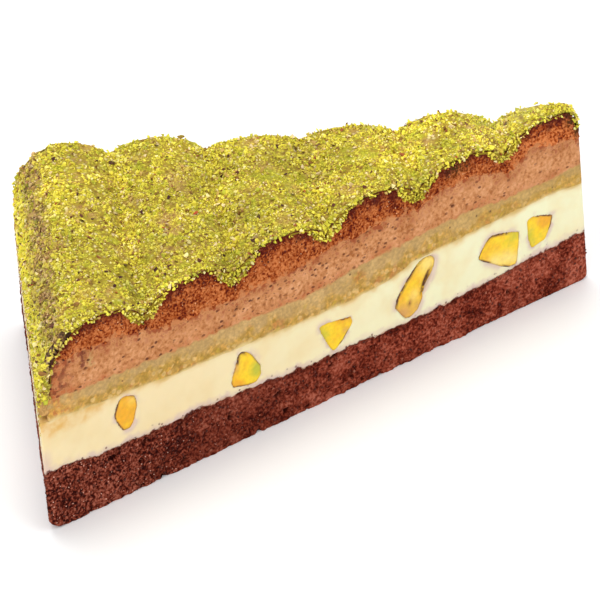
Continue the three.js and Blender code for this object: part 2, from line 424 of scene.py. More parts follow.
@dataclass
class WallSkin:
    """The points of a layer's upright sides before they get their relief."""

    points: np.ndarray
    side: np.ndarray
    above: np.ndarray  # distance above the layer's lower edge
    below: np.ndarray  # distance under its upper edge


@dataclass(frozen=True)
class LayerGrid:
    """How finely a layer's faces are divided."""

    rows: int
    along: int = 400
    rim: int = 210
    tip: int = 3
    top: int = 3
    bottom: int = 3
    corner_passes: int = 3  # rounds the upright corners


Relief = Callable[[WallSkin], tuple[np.ndarray, dict[str, np.ndarray]]]


@dataclass
class LayerShape:
    """A closed layer between two faces of the stack."""

    stack: LayerStack
    lower: Edge
    upper: Edge
    start_x: float
    grid: LayerGrid

    def __post_init__(self) -> None:
        """Lay out the columns of the upright sides: their side, and their shares along and across."""
        grid = self.grid
        counts = [grid.along, grid.tip, grid.along, grid.rim]
        steps = [np.arange(n) / n for n in counts]
        self.side = np.repeat(np.arange(len(counts)), counts)
        self.along = np.concatenate([steps[0], np.ones(grid.tip), 1 - steps[2], np.zeros(grid.rim)])
        self.share = np.concatenate([np.zeros(grid.along), steps[1], np.ones(grid.along), 1 - steps[3]])

    def face_height(self, edge: Edge, along: np.ndarray, share: np.ndarray) -> np.ndarray:
        """Heights of a face at shares along and across, where the tip leans."""
        height = np.full(len(along), 20.0)
        for _ in range(4):
            height = self.stack.height(edge, self.stack.plan.along(self.start_x, along, height), share)
        return height

    def columns(self) -> tuple[WallSkin, np.ndarray]:
        """Set out the upright sides.

        Returns:
            The skin, column by column from the base up, and the outward normal of each of its points.
        """
        plan, rows = self.stack.plan, self.grid.rows + 1
        low = self.face_height(self.lower, self.along, self.share)
        high = np.maximum(self.face_height(self.upper, self.along, self.share), low + 0.3)
        height = blend(low[:, None], high[:, None], np.linspace(0, 1, rows)[None, :])
        along = np.broadcast_to(self.along[:, None], height.shape)
        share = np.broadcast_to(self.share[:, None], height.shape)
        x = plan.along(self.start_x, along, height)
        plan_points = np.stack([x, plan.across(x, share)], axis=-1)
        normals = np.array([plan.side(side).outwards for side in Side])[self.side]
        for _ in range(self.grid.corner_passes):
            plan_points = self.soften(plan_points)
            normals = self.soften(normals)
        normals /= np.linalg.norm(normals, axis=1, keepdims=True)
        points = np.concatenate([plan_points, height[..., None]], axis=-1).reshape(-1, 3)
        skin = WallSkin(
            points=points,
            side=np.repeat(self.side, rows),
            above=(height - low[:, None]).ravel(),
            below=(high[:, None] - height).ravel(),
        )
        flat = np.column_stack([normals, np.zeros(len(normals))])
        return skin, np.repeat(flat, rows, axis=0)

    def free(self, skin: WallSkin) -> np.ndarray:
        """Distance of the upright sides' points from the nearest layer above or below."""
        above = skin.above if self.lower is not Edge.BASE else SEAM_REACH
        below = skin.below if self.upper is not Edge.COCOA_TOP else SEAM_REACH
        return np.minimum(above, below)

    @staticmethod
    def soften(values: np.ndarray) -> np.ndarray:
        """Average each column with its neighbours round the wedge."""
        return (np.roll(values, 1, axis=0) + 2 * values + np.roll(values, -1, axis=0)) / 4

    def cap(self, edge: Edge, rows: int, first: int, row: int) -> tuple[np.ndarray, list[list[int]]]:
        """Fill a face from side to side.

        Args:
            edge: the face.
            rows: divisions from the long side to the short one.
            first: index of the first new point.
            row: row of the upright sides' points that the face meets.

        Returns:
            The new points, and the faces, which look up.
        """
        count, tips, stride = self.grid.along, self.grid.tip, self.grid.rows + 1
        total = len(self.side)
        steps, shares = np.arange(1, count), np.arange(1, rows)
        along = np.repeat(steps / count, len(shares))
        share = np.tile(shares / rows, len(steps))
        height = self.face_height(edge, along, share)
        x = self.stack.plan.along(self.start_x, along, height)
        points = np.column_stack([x, self.stack.plan.across(x, share), height])

        def corner(i: int, j: int) -> int:
            """Index of the grid's point i along and j across."""
            if j == 0:
                return i * stride + row
            if j == rows:
                return (2 * count + tips - i) * stride + row
            return first + (i - 1) * (rows - 1) + j - 1

        faces = [
            [corner(i, j), corner(i + 1, j), corner(i + 1, j + 1), corner(i, j + 1)]
            for i in range(1, count - 1)
            for j in range(rows)
        ]
        rim_columns = [0, *range(total - 1, total - self.grid.rim - 1, -1)]
        rim = [c * stride + row for c in rim_columns]
        tip = [c * stride + row for c in range(count, count + tips + 1)]
        faces += self.stitch(rim, [corner(1, j) for j in range(rows + 1)])
        faces += self.stitch([corner(count - 1, j) for j in range(rows + 1)], tip)
        return points, faces

    @staticmethod
    def stitch(left: Sequence[int], right: Sequence[int]) -> list[list[int]]:
        """Join two rows of points, which may differ in number, with triangles."""
        faces, i, j = [], 0, 0
        while i < len(left) - 1 or j < len(right) - 1:
            if (i + 1) / (len(left) - 1) <= (j + 1) / (len(right) - 1) and i < len(left) - 1:
                faces.append([left[i], right[j], left[i + 1]])
                i += 1
            elif j < len(right) - 1:
                faces.append([left[i], right[j], right[j + 1]])
                j += 1
            else:
                faces.append([left[i], right[j], left[i + 1]])
                i += 1
        return faces

    def mesh(self, name: str, relief: Relief, under: Relief | None = None) -> bpy.types.Mesh:
        """Build the closed layer.

        Args:
            name: name of the mesh.
            relief: gives the distance outwards and the attributes of the upright sides' points.
            under: gives the height and the attributes of the underside's points.

        Returns:
            The mesh, with "above" and "below" in millimetres among its attributes.
        """
        skin, normals = self.columns()
        out, marks = relief(skin)
        out = blend(self.stack.seam(skin.points), out, smooth(0, SEAM_REACH, self.free(skin)))
        out -= marks.pop("hollow", 0.0)
        room = np.clip(self.stack.plan.width(skin.points[:, 0]) / 5, 0.15, 1)
        points = skin.points + normals * (out * room)[:, None]
        stride, total = self.grid.rows + 1, len(self.side)
        column = np.arange(total)[:, None]
        row = np.arange(self.grid.rows)[None, :]
        here, after = column * stride + row, (column + 1) % total * stride + row
        walls = np.stack([here, after, after + 1, here + 1], axis=-1).reshape(-1, 4).tolist()
        top_points, top = self.cap(self.upper, self.grid.top, len(points), self.grid.rows)
        base_points, base = self.cap(self.lower, self.grid.bottom, len(points) + len(top_points), 0)
        marks = {"above": skin.above, "below": skin.below, **marks}
        extra = {key: np.zeros(len(top_points) + len(base_points)) for key in marks}
        extra["above"][: len(top_points)] = skin.above.max()
        extra["below"][len(top_points) :] = skin.below.max()
        if under is not None:
            flat = WallSkin(base_points, np.full(len(base_points), -1), *np.zeros((2, len(base_points))))
            rise, under_marks = under(flat)
            base_points[:, 2] += rise
            for key, values in under_marks.items():
                extra[key][len(top_points) :] = values
        everything = np.concatenate([points, top_points, base_points])
        faces = walls + top + [face[::-1] for face in base]
        mesh = closed_mesh(name, everything, faces)
        for key, values in marks.items():
            write_attribute(mesh, key, np.concatenate([values, extra[key]]))
        mark_sharp(mesh, len(points), stride)
        return mesh


def closed_mesh(name: str, points: np.ndarray, faces: Sequence[Sequence[int]]) -> bpy.types.Mesh:
    """A smooth-shaded mesh in metres from points in millimetres, kept inside the CAD box."""
    mesh = bpy.data.meshes.new(name)
    mesh.from_pydata(np.clip(points * MM, *CAD_BOX).tolist(), [], faces)
    mesh.polygons.foreach_set("use_smooth", [True] * len(mesh.polygons))
    mesh.update()
    return mesh


def write_attribute(mesh: bpy.types.Mesh, name: str, values: np.ndarray) -> None:
    """Keep one number for each point of a mesh."""
    attribute = mesh.attributes.new(name, "FLOAT", "POINT")
    attribute.data.foreach_set("value", np.asarray(values, np.float32))


def mark_sharp(mesh: bpy.types.Mesh, wall_points: int, stride: int) -> None:
    """Keep the shading crisp where the upright sides of a layer meet its upper and lower faces."""
    ends = np.zeros(len(mesh.edges) * 2, int)
    mesh.edges.foreach_get("vertices", ends)
    ends = ends.reshape(-1, 2)
    on_edge = (ends < wall_points) & np.isin(ends % stride, (0, stride - 1))
    upright = np.abs(ends[:, 0] - ends[:, 1]) == 1
    mesh.edges.foreach_set("use_edge_sharp", on_edge.all(axis=1) & ~upright)


def finished(
    name: str, mesh: bpy.types.Mesh, material: bpy.types.Material, replaces: Sequence[str] = ()
) -> bpy.types.Object:
    """Put a finished mesh on the cake.

    Args:
        name: name of the piece.
        mesh: its mesh, in metres, in place.
        material: its finish.
        replaces: CAD nodes that it stands for.

    Returns:
        The piece.
    """
    mesh.materials.clear()
    mesh.materials.append(material)
    piece = bpy.data.objects.new(name, mesh)
    bpy.context.scene.collection.objects.link(piece)
    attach(piece, "root")
    if replaces:
        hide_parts(*replaces)
    triangles = sum(len(face.vertices) - 2 for face in mesh.polygons)
    LOG.info("%s: %d triangles", name, triangles)
    return piece


def linear(colour: Colour) -> tuple[float, float, float, float]:
    """Linear light of a colour given as 0 to 255 screen values, with alpha 1."""
    shares = [value / 255 for value in colour]
    light = [c / 12.92 if c <= 0.04045 else ((c + 0.055) / 1.055) ** 2.4 for c in shares]
    return (*light, 1.0)


class NodeWriter:
    """Adds nodes to a tree."""

    tree: bpy.types.NodeTree

    def node(self, kind: str, inputs: dict[int | str, object], **settings: object) -> bpy.types.Node:
        """Add a node.

        Args:
            kind: the node's type.
            inputs: values or sockets, by input name or number.
            settings: the node's own settings.

        Returns:
            The node.
        """
        node = self.tree.nodes.new(kind)
        for key, value in settings.items():
            setattr(node, key, value)
        for key, value in inputs.items():
            if isinstance(value, bpy.types.NodeSocket):
                self.tree.links.new(value, node.inputs[key])
            else:
                node.inputs[key].default_value = value
        return node

    def scaled(self, vector: Socket, factor: Socket | float) -> Socket:
        """A vector or a colour times a factor."""
        inputs = {0: vector, "Scale": factor}
        return self.node("ShaderNodeVectorMath", inputs, operation="SCALE").outputs[0]


class Recipe(NodeWriter):
    """Mixes the nodes of one finish on Object coordinates. Sizes are in millimetres."""

    def __init__(self, name: str, roughness: float, specular: float) -> None:
        """Start a material.

        Args:
            name: name of the material.
            roughness: how matt the surface is.
            specular: how strongly it reflects.
        """
        self.material = bpy.data.materials.new(name)
        self.material.use_nodes = True
        self.tree = self.material.node_tree
        self.shader = self.tree.nodes["Principled BSDF"]
        self.shader.inputs["Roughness"].default_value = roughness
        self.shader.inputs["Specular IOR Level"].default_value = specular
        self.object_place = self.tree.nodes.new("ShaderNodeTexCoord").outputs["Object"]

    def place(self, stretch: tuple[float, float, float] = (1, 1, 1), turn: float = 0.0) -> Socket:
        """Object coordinates, turned about Z and then stretched."""
        turned = self.node("ShaderNodeMapping", {0: self.object_place, 2: (0, 0, turn)})
        scale = tuple(1 / s for s in stretch)
        return self.node("ShaderNodeMapping", {0: turned.outputs[0], 3: scale}).outputs[0]

    def noise(self, size: float, detail: float = 3, place: Socket | None = None) -> Socket:
        """Noise from 0 to 1 with lumps of a size."""
        inputs = {"Vector": place or self.object_place, "Scale": 1 / (size * MM), "Detail": detail}
        return self.node("ShaderNodeTexNoise", inputs).outputs[0]

    def grains(self, size: float, place: Socket | None = None) -> tuple[Socket, Socket]:
        """Cells of a size: the distance from each one's middle, and its random colour."""
        inputs = {"Vector": place or self.object_place, "Scale": 1 / (size * MM)}
        node = self.node("ShaderNodeTexVoronoi", inputs)
        return node.outputs["Distance"], node.outputs["Color"]

    def attribute(self, name: str) -> Socket:
        """A number kept on the mesh."""
        return self.node("ShaderNodeAttribute", {}, attribute_name=name).outputs["Fac"]

    def maths(self, operation: str, first: Socket | float, second: Socket | float = 0.0) -> Socket:
        """Two numbers made one."""
        return self.node("ShaderNodeMath", {0: first, 1: second}, operation=operation).outputs[0]

    def times(self, *factors: Socket | float) -> Socket | float:
        """Product of one or more numbers."""
        return reduce(lambda product, factor: self.maths("MULTIPLY", product, factor), factors)

    def away(self, value: Socket, middle: float) -> Socket:
        """How far a number is from a middle."""
        return self.maths("ABSOLUTE", self.maths("SUBTRACT", value, middle))

    def swing(self, noise: Socket, depth: Socket | float) -> Socket:
        """How far a noise is from its middle, times a depth."""
        return self.times(self.maths("SUBTRACT", noise, 0.5), depth)

    def band(self, value: Socket, low: float, high: float, to_low: float = 0, to_high: float = 1) -> Socket:
        """Eased step from one number at low to another at high."""
        inputs = {0: value, 1: low, 2: high, 3: to_low, 4: to_high}
        return self.node("ShaderNodeMapRange", inputs, interpolation_type="SMOOTHSTEP").outputs[0]

    def x(self) -> Socket:
        """Place along the wedge, in millimetres."""
        return self.times(self.node("ShaderNodeSeparateXYZ", {0: self.object_place}).outputs[0], 1 / MM)

    def y(self) -> Socket:
        """Place across the wedge, in millimetres."""
        return self.times(self.node("ShaderNodeSeparateXYZ", {0: self.object_place}).outputs[1], 1 / MM)

    def tone(self, *parts: tuple[Socket, float]) -> Socket:
        """One half plus the swings of noises about their middles, each by its weight."""
        total: Socket | float = 0.5 - sum(weight for _, weight in parts) / 2
        for value, weight in parts:
            sum_node = self.node("ShaderNodeMath", {0: value, 1: weight, 2: total}, operation="MULTIPLY_ADD")
            total = sum_node.outputs[0]
        return total

    def dots(self, size: float, radius: float, rarity: float, place: Socket | None = None) -> Socket:
        """Scattered round spots.

        Args:
            size: how far apart cells lie.
            radius: a spot's radius as a share of the size.
            rarity: from 0.5, where every other cell has a spot, up to 0.9, where hardly any has.
            place: coordinates, if not the object's own.

        Returns:
            1 inside the spots and 0 outside.
        """
        distance, marks = self.grains(size, place)
        return self.times(self.band(distance, radius, 0.6 * radius), self.band(marks, rarity, rarity + 0.03))

    def ramp(self, value: Socket, stops: Stops, hard: bool = False) -> Socket:
        """Colours along a number from 0 to 1."""
        node = self.node("ShaderNodeValToRGB", {0: value})
        node.color_ramp.interpolation = "CONSTANT" if hard else "LINEAR"
        elements = node.color_ramp.elements
        while len(elements) < len(stops):
            elements.new(0.5)
        for element, (place, colour) in zip(elements, stops):
            element.position = place
            element.color = linear(colour)
        return node.outputs[0]

    def mix(self, share: Socket | float, first: Socket | Colour, second: Socket | Colour) -> Socket:
        """Two colours made one."""
        colours = {6 + k: linear(c) if isinstance(c, tuple) else c for k, c in enumerate((first, second))}
        return self.node("ShaderNodeMix", {0: share, **colours}, data_type="RGBA").outputs[2]

    def lay(self, colour: Socket, tint: Socket | Colour, *shares: Socket | float) -> Socket:
        """A colour with a tint laid over it by the product of some shares."""
        return self.mix(self.times(*shares), colour, tint)

    def patch(self, colour: Socket | Colour, patches: "Patches") -> Socket:
        """A colour with soft patches of another."""
        noise = self.noise(patches.size, patches.detail)
        share = self.band(noise, patches.low, patches.high, 0, patches.strength)
        return self.mix(share, colour, patches.colour)

    def strew(
        self, colour: Socket, specks: "Specks", share: Socket | float = 1.0, place: Socket | None = None
    ) -> Socket:
        """A colour with specks of another, as strong as a share says."""
        spots = self.dots(specks.size, specks.radius, specks.rarity, place)
        return self.lay(colour, specks.colour, spots, specks.strength, share)

    def shade(self, colour: Socket, low: float, high: float, value: Socket) -> Socket:
        """A colour made lighter or darker by a factor that runs from low to high."""
        return self.scaled(colour, self.band(value, 0, 1, low, high))

    def soften(self, weight: float, radius: tuple[float, float, float], scale: float) -> None:
        """Let light into the surface, as deep as a scale."""
        for name, value in (("Weight", weight), ("Radius", radius), ("Scale", scale * MM)):
            self.shader.inputs[f"Subsurface {name}"].default_value = value

    def done(self, colour: Socket, relief: Socket | None = None, depth: float = 0.0) -> bpy.types.Material:
        """The material with its colour and, where it has one, a relief of a depth."""
        self.tree.links.new(colour, self.shader.inputs["Base Color"])
        if relief is not None:
            inputs = {"Height": relief, "Strength": 1.0, "Distance": depth * MM}
            self.tree.links.new(self.node("ShaderNodeBump", inputs).outputs[0], self.shader.inputs["Normal"])
        return self.material


@dataclass(frozen=True)
class Patches:
    """Soft patches of a colour where a noise is high."""

    colour: Colour
    size: float  # of the noise's largest lumps
    detail: float  # how much finer noise lies over them
    low: float  # the noise's value where a patch begins
    high: float  # its value where the patch is strongest
    strength: float = 1.0


@dataclass(frozen=True)
class Specks:
    """Scattered round spots of a colour."""

    colour: Colour
    size: float  # how far apart cells lie
    radius: float  # a spot's radius as a share of the size
    rarity: float  # from 0.5, where every other cell has a spot, up to 0.9, where hardly any has
    strength: float = 1.0


@dataclass(frozen=True)
class Seam:
    """How the colours of two layers cross over where they meet, the same from both sides."""

    soft: float  # half the width of the change
    wander: float  # how far the border strays up and down
    size: float  # over what distance it strays
    detail: float = 4

    def over(self, mix: Recipe, above: bool) -> Socket:
        """Height over the straying border, for the finish of the layer above it or of the one below."""
        height = mix.attribute("above") if above else mix.times(mix.attribute("below"), -1.0)
        return mix.maths("ADD", mix.swing(mix.noise(self.size, self.detail), 4 * self.wander), height)

    def share(self, mix: Recipe, over: Socket) -> Socket:
        """Share of the upper layer's colour."""
        return mix.band(over, -self.soft, self.soft)


SPONGE_TO_CREAM = Seam(soft=0.22, wander=0.65, size=1.8, detail=5)
CREAM_TO_PASTE = Seam(soft=0.75, wander=0.8, size=5.5, detail=1)
PASTE_TO_MOUSSE = Seam(soft=0.35, wander=0.6, size=1.8, detail=5)
MOUSSE_TO_COCOA = Seam(soft=0.7, wander=2.0, size=1.6, detail=5)


@dataclass(frozen=True)
class SpongeFinish:
    """Dark red-brown open crumb, coarser towards the outer end, darkest at the cream, with painted shade and
    glints.
    """

    black: Colour = (40, 4, 2)
    dark: Colour = (74, 19, 7)
    middle: Colour = (118, 50, 33)
    light: Colour = (166, 94, 74)
    cream: Colour = (214, 178, 152)
    # pale specks painted as highlights on the crumb
    glints: Specks = Specks((222, 170, 150), size=0.75, radius=0.22, rarity=0.6)
    # dark specks painted as the shade inside small holes
    hole_shade: Specks = Specks((40, 4, 2), size=1.5, radius=0.26, rarity=0.58)
    crumbs: Specks = Specks((40, 4, 2), size=1.3, radius=0.42, rarity=0.5)
    grain_size: float = 0.6
    grain_depth: float = 0.3
    clump_size: float = 2.4
    cloud_size: float = 12.0
    fine_x: float = -12  # the crumb is fine from here on towards the tip
    coarse_x: float = -48  # and coarse from here on towards the outer end
    roughness: float = 0.85
    specular: float = 0.08

    def material(self) -> bpy.types.Material:
        """Build the material."""
        mix = Recipe("sponge_crumb", self.roughness, self.specular)
        x, grain = mix.x(), mix.noise(self.grain_size, 5)
        coarse = mix.band(x, self.coarse_x, self.fine_x, 1, 0.15)
        clumps, clouds = mix.noise(self.clump_size, 3), mix.noise(self.cloud_size, 2)
        swing = mix.swing(grain, mix.band(x, self.coarse_x, -22, 2.7, 1.3))
        tone = mix.maths("ADD", swing, mix.tone((clumps, 0.7), (clouds, 0.9)))
        stops = ((0.06, self.black), (0.28, self.dark), (0.52, self.middle), (0.92, self.light))
        colour = mix.shade(mix.ramp(tone, stops), 1.04, 1.5, mix.band(x, -34, 24))
        # painted highlights and painted hole shade, strewn over the coarse crumb
        for specks in (self.glints, self.hole_shade):
            colour = mix.strew(colour, specks, coarse)
        # painted shade: the relief's pits are darkened towards black
        colour = mix.lay(colour, self.black, mix.band(mix.attribute("pit"), 0.35, 1, 0, 0.85))
        over = SPONGE_TO_CREAM.over(mix, above=False)
        patchy = mix.band(mix.noise(3.0, 3), 0.36, 0.58)
        colour = mix.lay(colour, self.dark, mix.band(over, -1.6, -0.2, 0, 0.75), patchy)
        near_cream = mix.times(mix.band(over, -1.9, -0.5, 0, 0.8), mix.band(x, -30, 10, 0.3, 1))
        colour = mix.strew(colour, self.crumbs, near_cream)
        colour = mix.lay(colour, self.cream, SPONGE_TO_CREAM.share(mix, over))
        return mix.done(colour, grain, self.grain_depth)


@dataclass(frozen=True)
class CreamFinish:
    """Soft ivory cream, warmer towards the outer end, stained a little by its neighbours and with painted
    shade.
    """

    warm: Colour = (239, 219, 172)
    pale: Colour = (239, 236, 196)
    shadow: Colour = (214, 188, 176)
    sponge: Colour = (104, 52, 42)
    paste: Colour = (208, 174, 102)
    golden: Colour = (222, 172, 86)
    deep: Patches = Patches((232, 206, 148), size=8.0, detail=3, low=0.42, high=0.68, strength=0.4)
    flecks: Specks = Specks((104, 52, 42), size=1.0, radius=0.34, rarity=0.56)
    knife_size: float = 2.5  # of the knife's drags
    knife_depth: float = 0.06
    depth: float = 1.2  # how deep light goes in
    roughness: float = 0.42
    specular: float = 0.3

    def material(self) -> bpy.types.Material:
        """Build the material."""
        mix = Recipe("vanilla_cream", self.roughness, self.specular)
        x, drags = mix.x(), mix.noise(self.knife_size, 3)
        reach = mix.maths("ADD", x, mix.times(mix.noise(12.0, 2), 30.0))
        colour = mix.patch(mix.mix(mix.band(reach, -20, 45), self.warm, self.pale), self.deep)
        low, high = SPONGE_TO_CREAM.over(mix, above=True), CREAM_TO_PASTE.over(mix, above=False)
        # painted shade, patchy and pinkish grey, along the sponge
        shade_patches = mix.band(mix.noise(7.0), 0.35, 0.6, 0.4, 1)
        colour = mix.lay(colour, self.shadow, mix.band(low, 0.1, 1.9, 0.95, 0), shade_patches)
        colour = mix.strew(colour, self.flecks, mix.band(low, 0.3, 1.7, 0.85, 0))
        halo = mix.times(mix.attribute("halo"), mix.band(mix.noise(4.0, 2), 0.4, 0.62, 0.15, 1.2))
        colour = mix.lay(colour, self.shadow, mix.band(halo, 0.1, 1, 0, 0.8))
        at_rim, raised = mix.band(x, -59.8, -57.6, 0.75, 0), mix.band(low, 2.0, 7.0, 1, 0)
        colour = mix.lay(colour, self.shadow, at_rim, raised, mix.band(mix.y(), -33, -37))
        smear = mix.band(mix.maths("ADD", high, mix.band(x, -57, -40, 2.6, 0)), -1.8, 1.2)
        colour = mix.lay(colour, self.golden, smear, mix.band(drags, 0.35, 0.65, 0.3, 0.9))
        colour = mix.lay(colour, self.paste, CREAM_TO_PASTE.share(mix, high))
        colour = mix.mix(SPONGE_TO_CREAM.share(mix, low), self.sponge, colour)
        mix.soften(0.25, (1.0, 0.75, 0.45), self.depth)
        return mix.done(colour, drags, self.knife_depth)


@dataclass(frozen=True)
class PasteFinish:
    """Pistachio paste: greyish olive and smooth above, golden and grainy below."""

    upper: Colour = (186, 150, 90)
    lower: Colour = (196, 152, 72)
    green: Colour = (184, 144, 52)
    cream: Colour = (226, 200, 136)
    mousse: Colour = (192, 126, 72)
    golden: Patches = Patches((210, 156, 66), size=1.4, detail=3, low=0.5, high=0.66, strength=0.8)
    brown: Patches = Patches((186, 112, 50), size=3.2, detail=3, low=0.56, high=0.68, strength=0.65)
    olive: Patches = Patches((160, 122, 34), size=1.8, detail=4, low=0.56, high=0.64, strength=0.8)
    pale: Patches = Patches((208, 170, 108), size=5.0, detail=3, low=0.48, high=0.66, strength=0.7)
    specks: Specks = Specks((96, 58, 22), size=1.7, radius=0.2, rarity=0.74, strength=0.75)
    granules: Stops = (
        (0.0, (156, 118, 36)),
        (0.25, (216, 168, 80)),
        (0.5, (190, 160, 42)),
        (0.75, (226, 190, 124)),
    )
    granule_size: float = 1.25
    grain_size: float = 0.7
    grain_depth: float = 0.08
    depth: float = 0.8  # how deep light goes in
    roughness: float = 0.5
    specular: float = 0.3

    def material(self) -> bpy.types.Material:
        """Build the material."""
        mix = Recipe("pistachio_paste", self.roughness, self.specular)
        x, above = mix.x(), mix.attribute("above")
        share = mix.maths("DIVIDE", above, mix.maths("ADD", above, mix.attribute("below")))
        wander = mix.tone((share, 1.0), (mix.noise(4.4, 4), 1.9))
        grainy = mix.mix(mix.band(mix.noise(2.6, 4), 0.4, 0.6), self.green, self.lower)
        for patches in (self.golden, self.brown, self.olive):
            grainy = mix.patch(grainy, patches)
        spots, marks = mix.grains(self.granule_size)
        granule = mix.ramp(mix.band(marks, 0.2, 0.8), self.granules, hard=True)
        grainy = mix.lay(grainy, granule, mix.band(spots, 0.55, 0.38, 0, 0.5))
        colour = mix.mix(mix.band(wander, 0.25, 0.8), grainy, mix.patch(self.upper, self.pale))
        colour = mix.lay(colour, self.green, mix.band(x, 15, 40, 0, 0.3))
        baked = mix.mix(mix.band(mix.noise(1.2, 3), 0.45, 0.6), self.golden.colour, self.brown.colour)
        patchy = mix.band(mix.noise(1.8, 3), 0.38, 0.6)
        colour = mix.lay(colour, baked, mix.band(x, -57.5, -50, 1, 0), patchy)
        colour = mix.shade(mix.strew(colour, self.specks), 0.64, 1.32, mix.noise(self.grain_size, 4))
        under, over = CREAM_TO_PASTE.over(mix, above=True), PASTE_TO_MOUSSE.over(mix, above=False)
        colour = mix.mix(CREAM_TO_PASTE.share(mix, under), self.cream, colour)
        colour = mix.lay(colour, self.mousse, PASTE_TO_MOUSSE.share(mix, over))
        mix.soften(0.1, (0.9, 0.6, 0.3), self.depth)
        return mix.done(colour, mix.noise(self.grain_size, 3), self.grain_depth)


@dataclass(frozen=True)
class MousseFinish:
    """Light brown mousse with painted shade in its pores, redder and grainier at its lower edge and outer
    end.
    """

    deep: Colour = (162, 94, 42)
    body: Colour = (202, 137, 85)
    light: Colour = (224, 162, 114)
    red: Colour = (180, 92, 42)
    torn: Colour = (112, 42, 16)
    pore_shade: Colour = (88, 34, 8)
    cocoa: Colour = (156, 76, 34)
    paste: Colour = (190, 150, 92)
    # where a smear of cocoa and one of nut paste run down through the mousse's upper part
    cocoa_smear_x: float = -50.2
    paste_smear_x: float = -48.5
    # dark specks painted as the shade inside the pores
    fine_pores: Specks = Specks((88, 34, 8), size=0.85, radius=0.26, rarity=0.58, strength=0.6)
    wide_pores: Specks = Specks((88, 34, 8), size=2.0, radius=0.2, rarity=0.54, strength=0.9)
    crowded_pores: Specks = Specks((88, 34, 8), size=1.4, radius=0.28, rarity=0.52)
    pore_stretch: tuple[float, float, float] = (1.35, 1.0, 0.9)
    pore_turn: float = -30.0  # in degrees
    grain_size: float = 0.8
    grain_depth: float = 0.12
    roughness: float = 0.6
    specular: float = 0.25

    def material(self) -> bpy.types.Material:
        """Build the material."""
        mix = Recipe("chocolate_mousse", self.roughness, self.specular)
        grain, lip = mix.noise(self.grain_size, 4), mix.attribute("lip")
        tone = mix.tone((grain, 1.7), (mix.noise(3.5, 3), 0.8))
        colour = mix.ramp(tone, ((0.12, self.deep), (0.5, self.body), (0.88, self.light)))
        low, high = PASTE_TO_MOUSSE.over(mix, above=True), MOUSSE_TO_COCOA.over(mix, above=False)
        grainy, patchy = mix.band(grain, 0.46, 0.58), mix.band(mix.noise(5.0, 3), 0.4, 0.62, 0.15, 1)
        colour = mix.lay(colour, self.red, mix.band(low, 0.0, 2.8, 0.9, 0), grainy, patchy)
        colour = mix.lay(colour, self.cocoa, mix.band(high, -3.0, -0.3, 0, 0.7), grainy)
        colour = mix.lay(colour, self.red, lip, mix.band(grain, 0.35, 0.6))
        colour = mix.lay(colour, self.torn, lip, mix.band(mix.noise(1.3, 4), 0.46, 0.56, 0, 0.85))
        stray = mix.maths("ADD", mix.x(), mix.tone((mix.noise(2.2, 3), 3.0)))
        smeared = mix.times(mix.band(high, -4.5, -2.5), mix.band(grain, 0.36, 0.56, 0.2, 0.9))
        for middle, smear in ((self.cocoa_smear_x, self.torn), (self.paste_smear_x, self.paste)):
            colour = mix.lay(colour, smear, mix.band(mix.away(stray, middle), 0.85, 0.35), smeared)
        long = mix.place(self.pore_stretch, math.radians(self.pore_turn))
        crowd = mix.band(mix.noise(6.0, 2), 0.38, 0.56, 0.3, 0.8)
        for pores, share in ((self.fine_pores, 1.0), (self.wide_pores, 1.0), (self.crowded_pores, crowd)):
            colour = mix.strew(colour, pores, share, long)
        # painted shade: the relief's pores and the gap at the lip are darkened
        colour = mix.lay(colour, self.pore_shade, mix.band(mix.attribute("pit"), 0.3, 1, 0, 0.9))
        colour = mix.mix(PASTE_TO_MOUSSE.share(mix, low), self.paste, colour)
        colour = mix.lay(colour, self.cocoa, MOUSSE_TO_COCOA.share(mix, high))
        return mix.done(colour, grain, self.grain_depth)


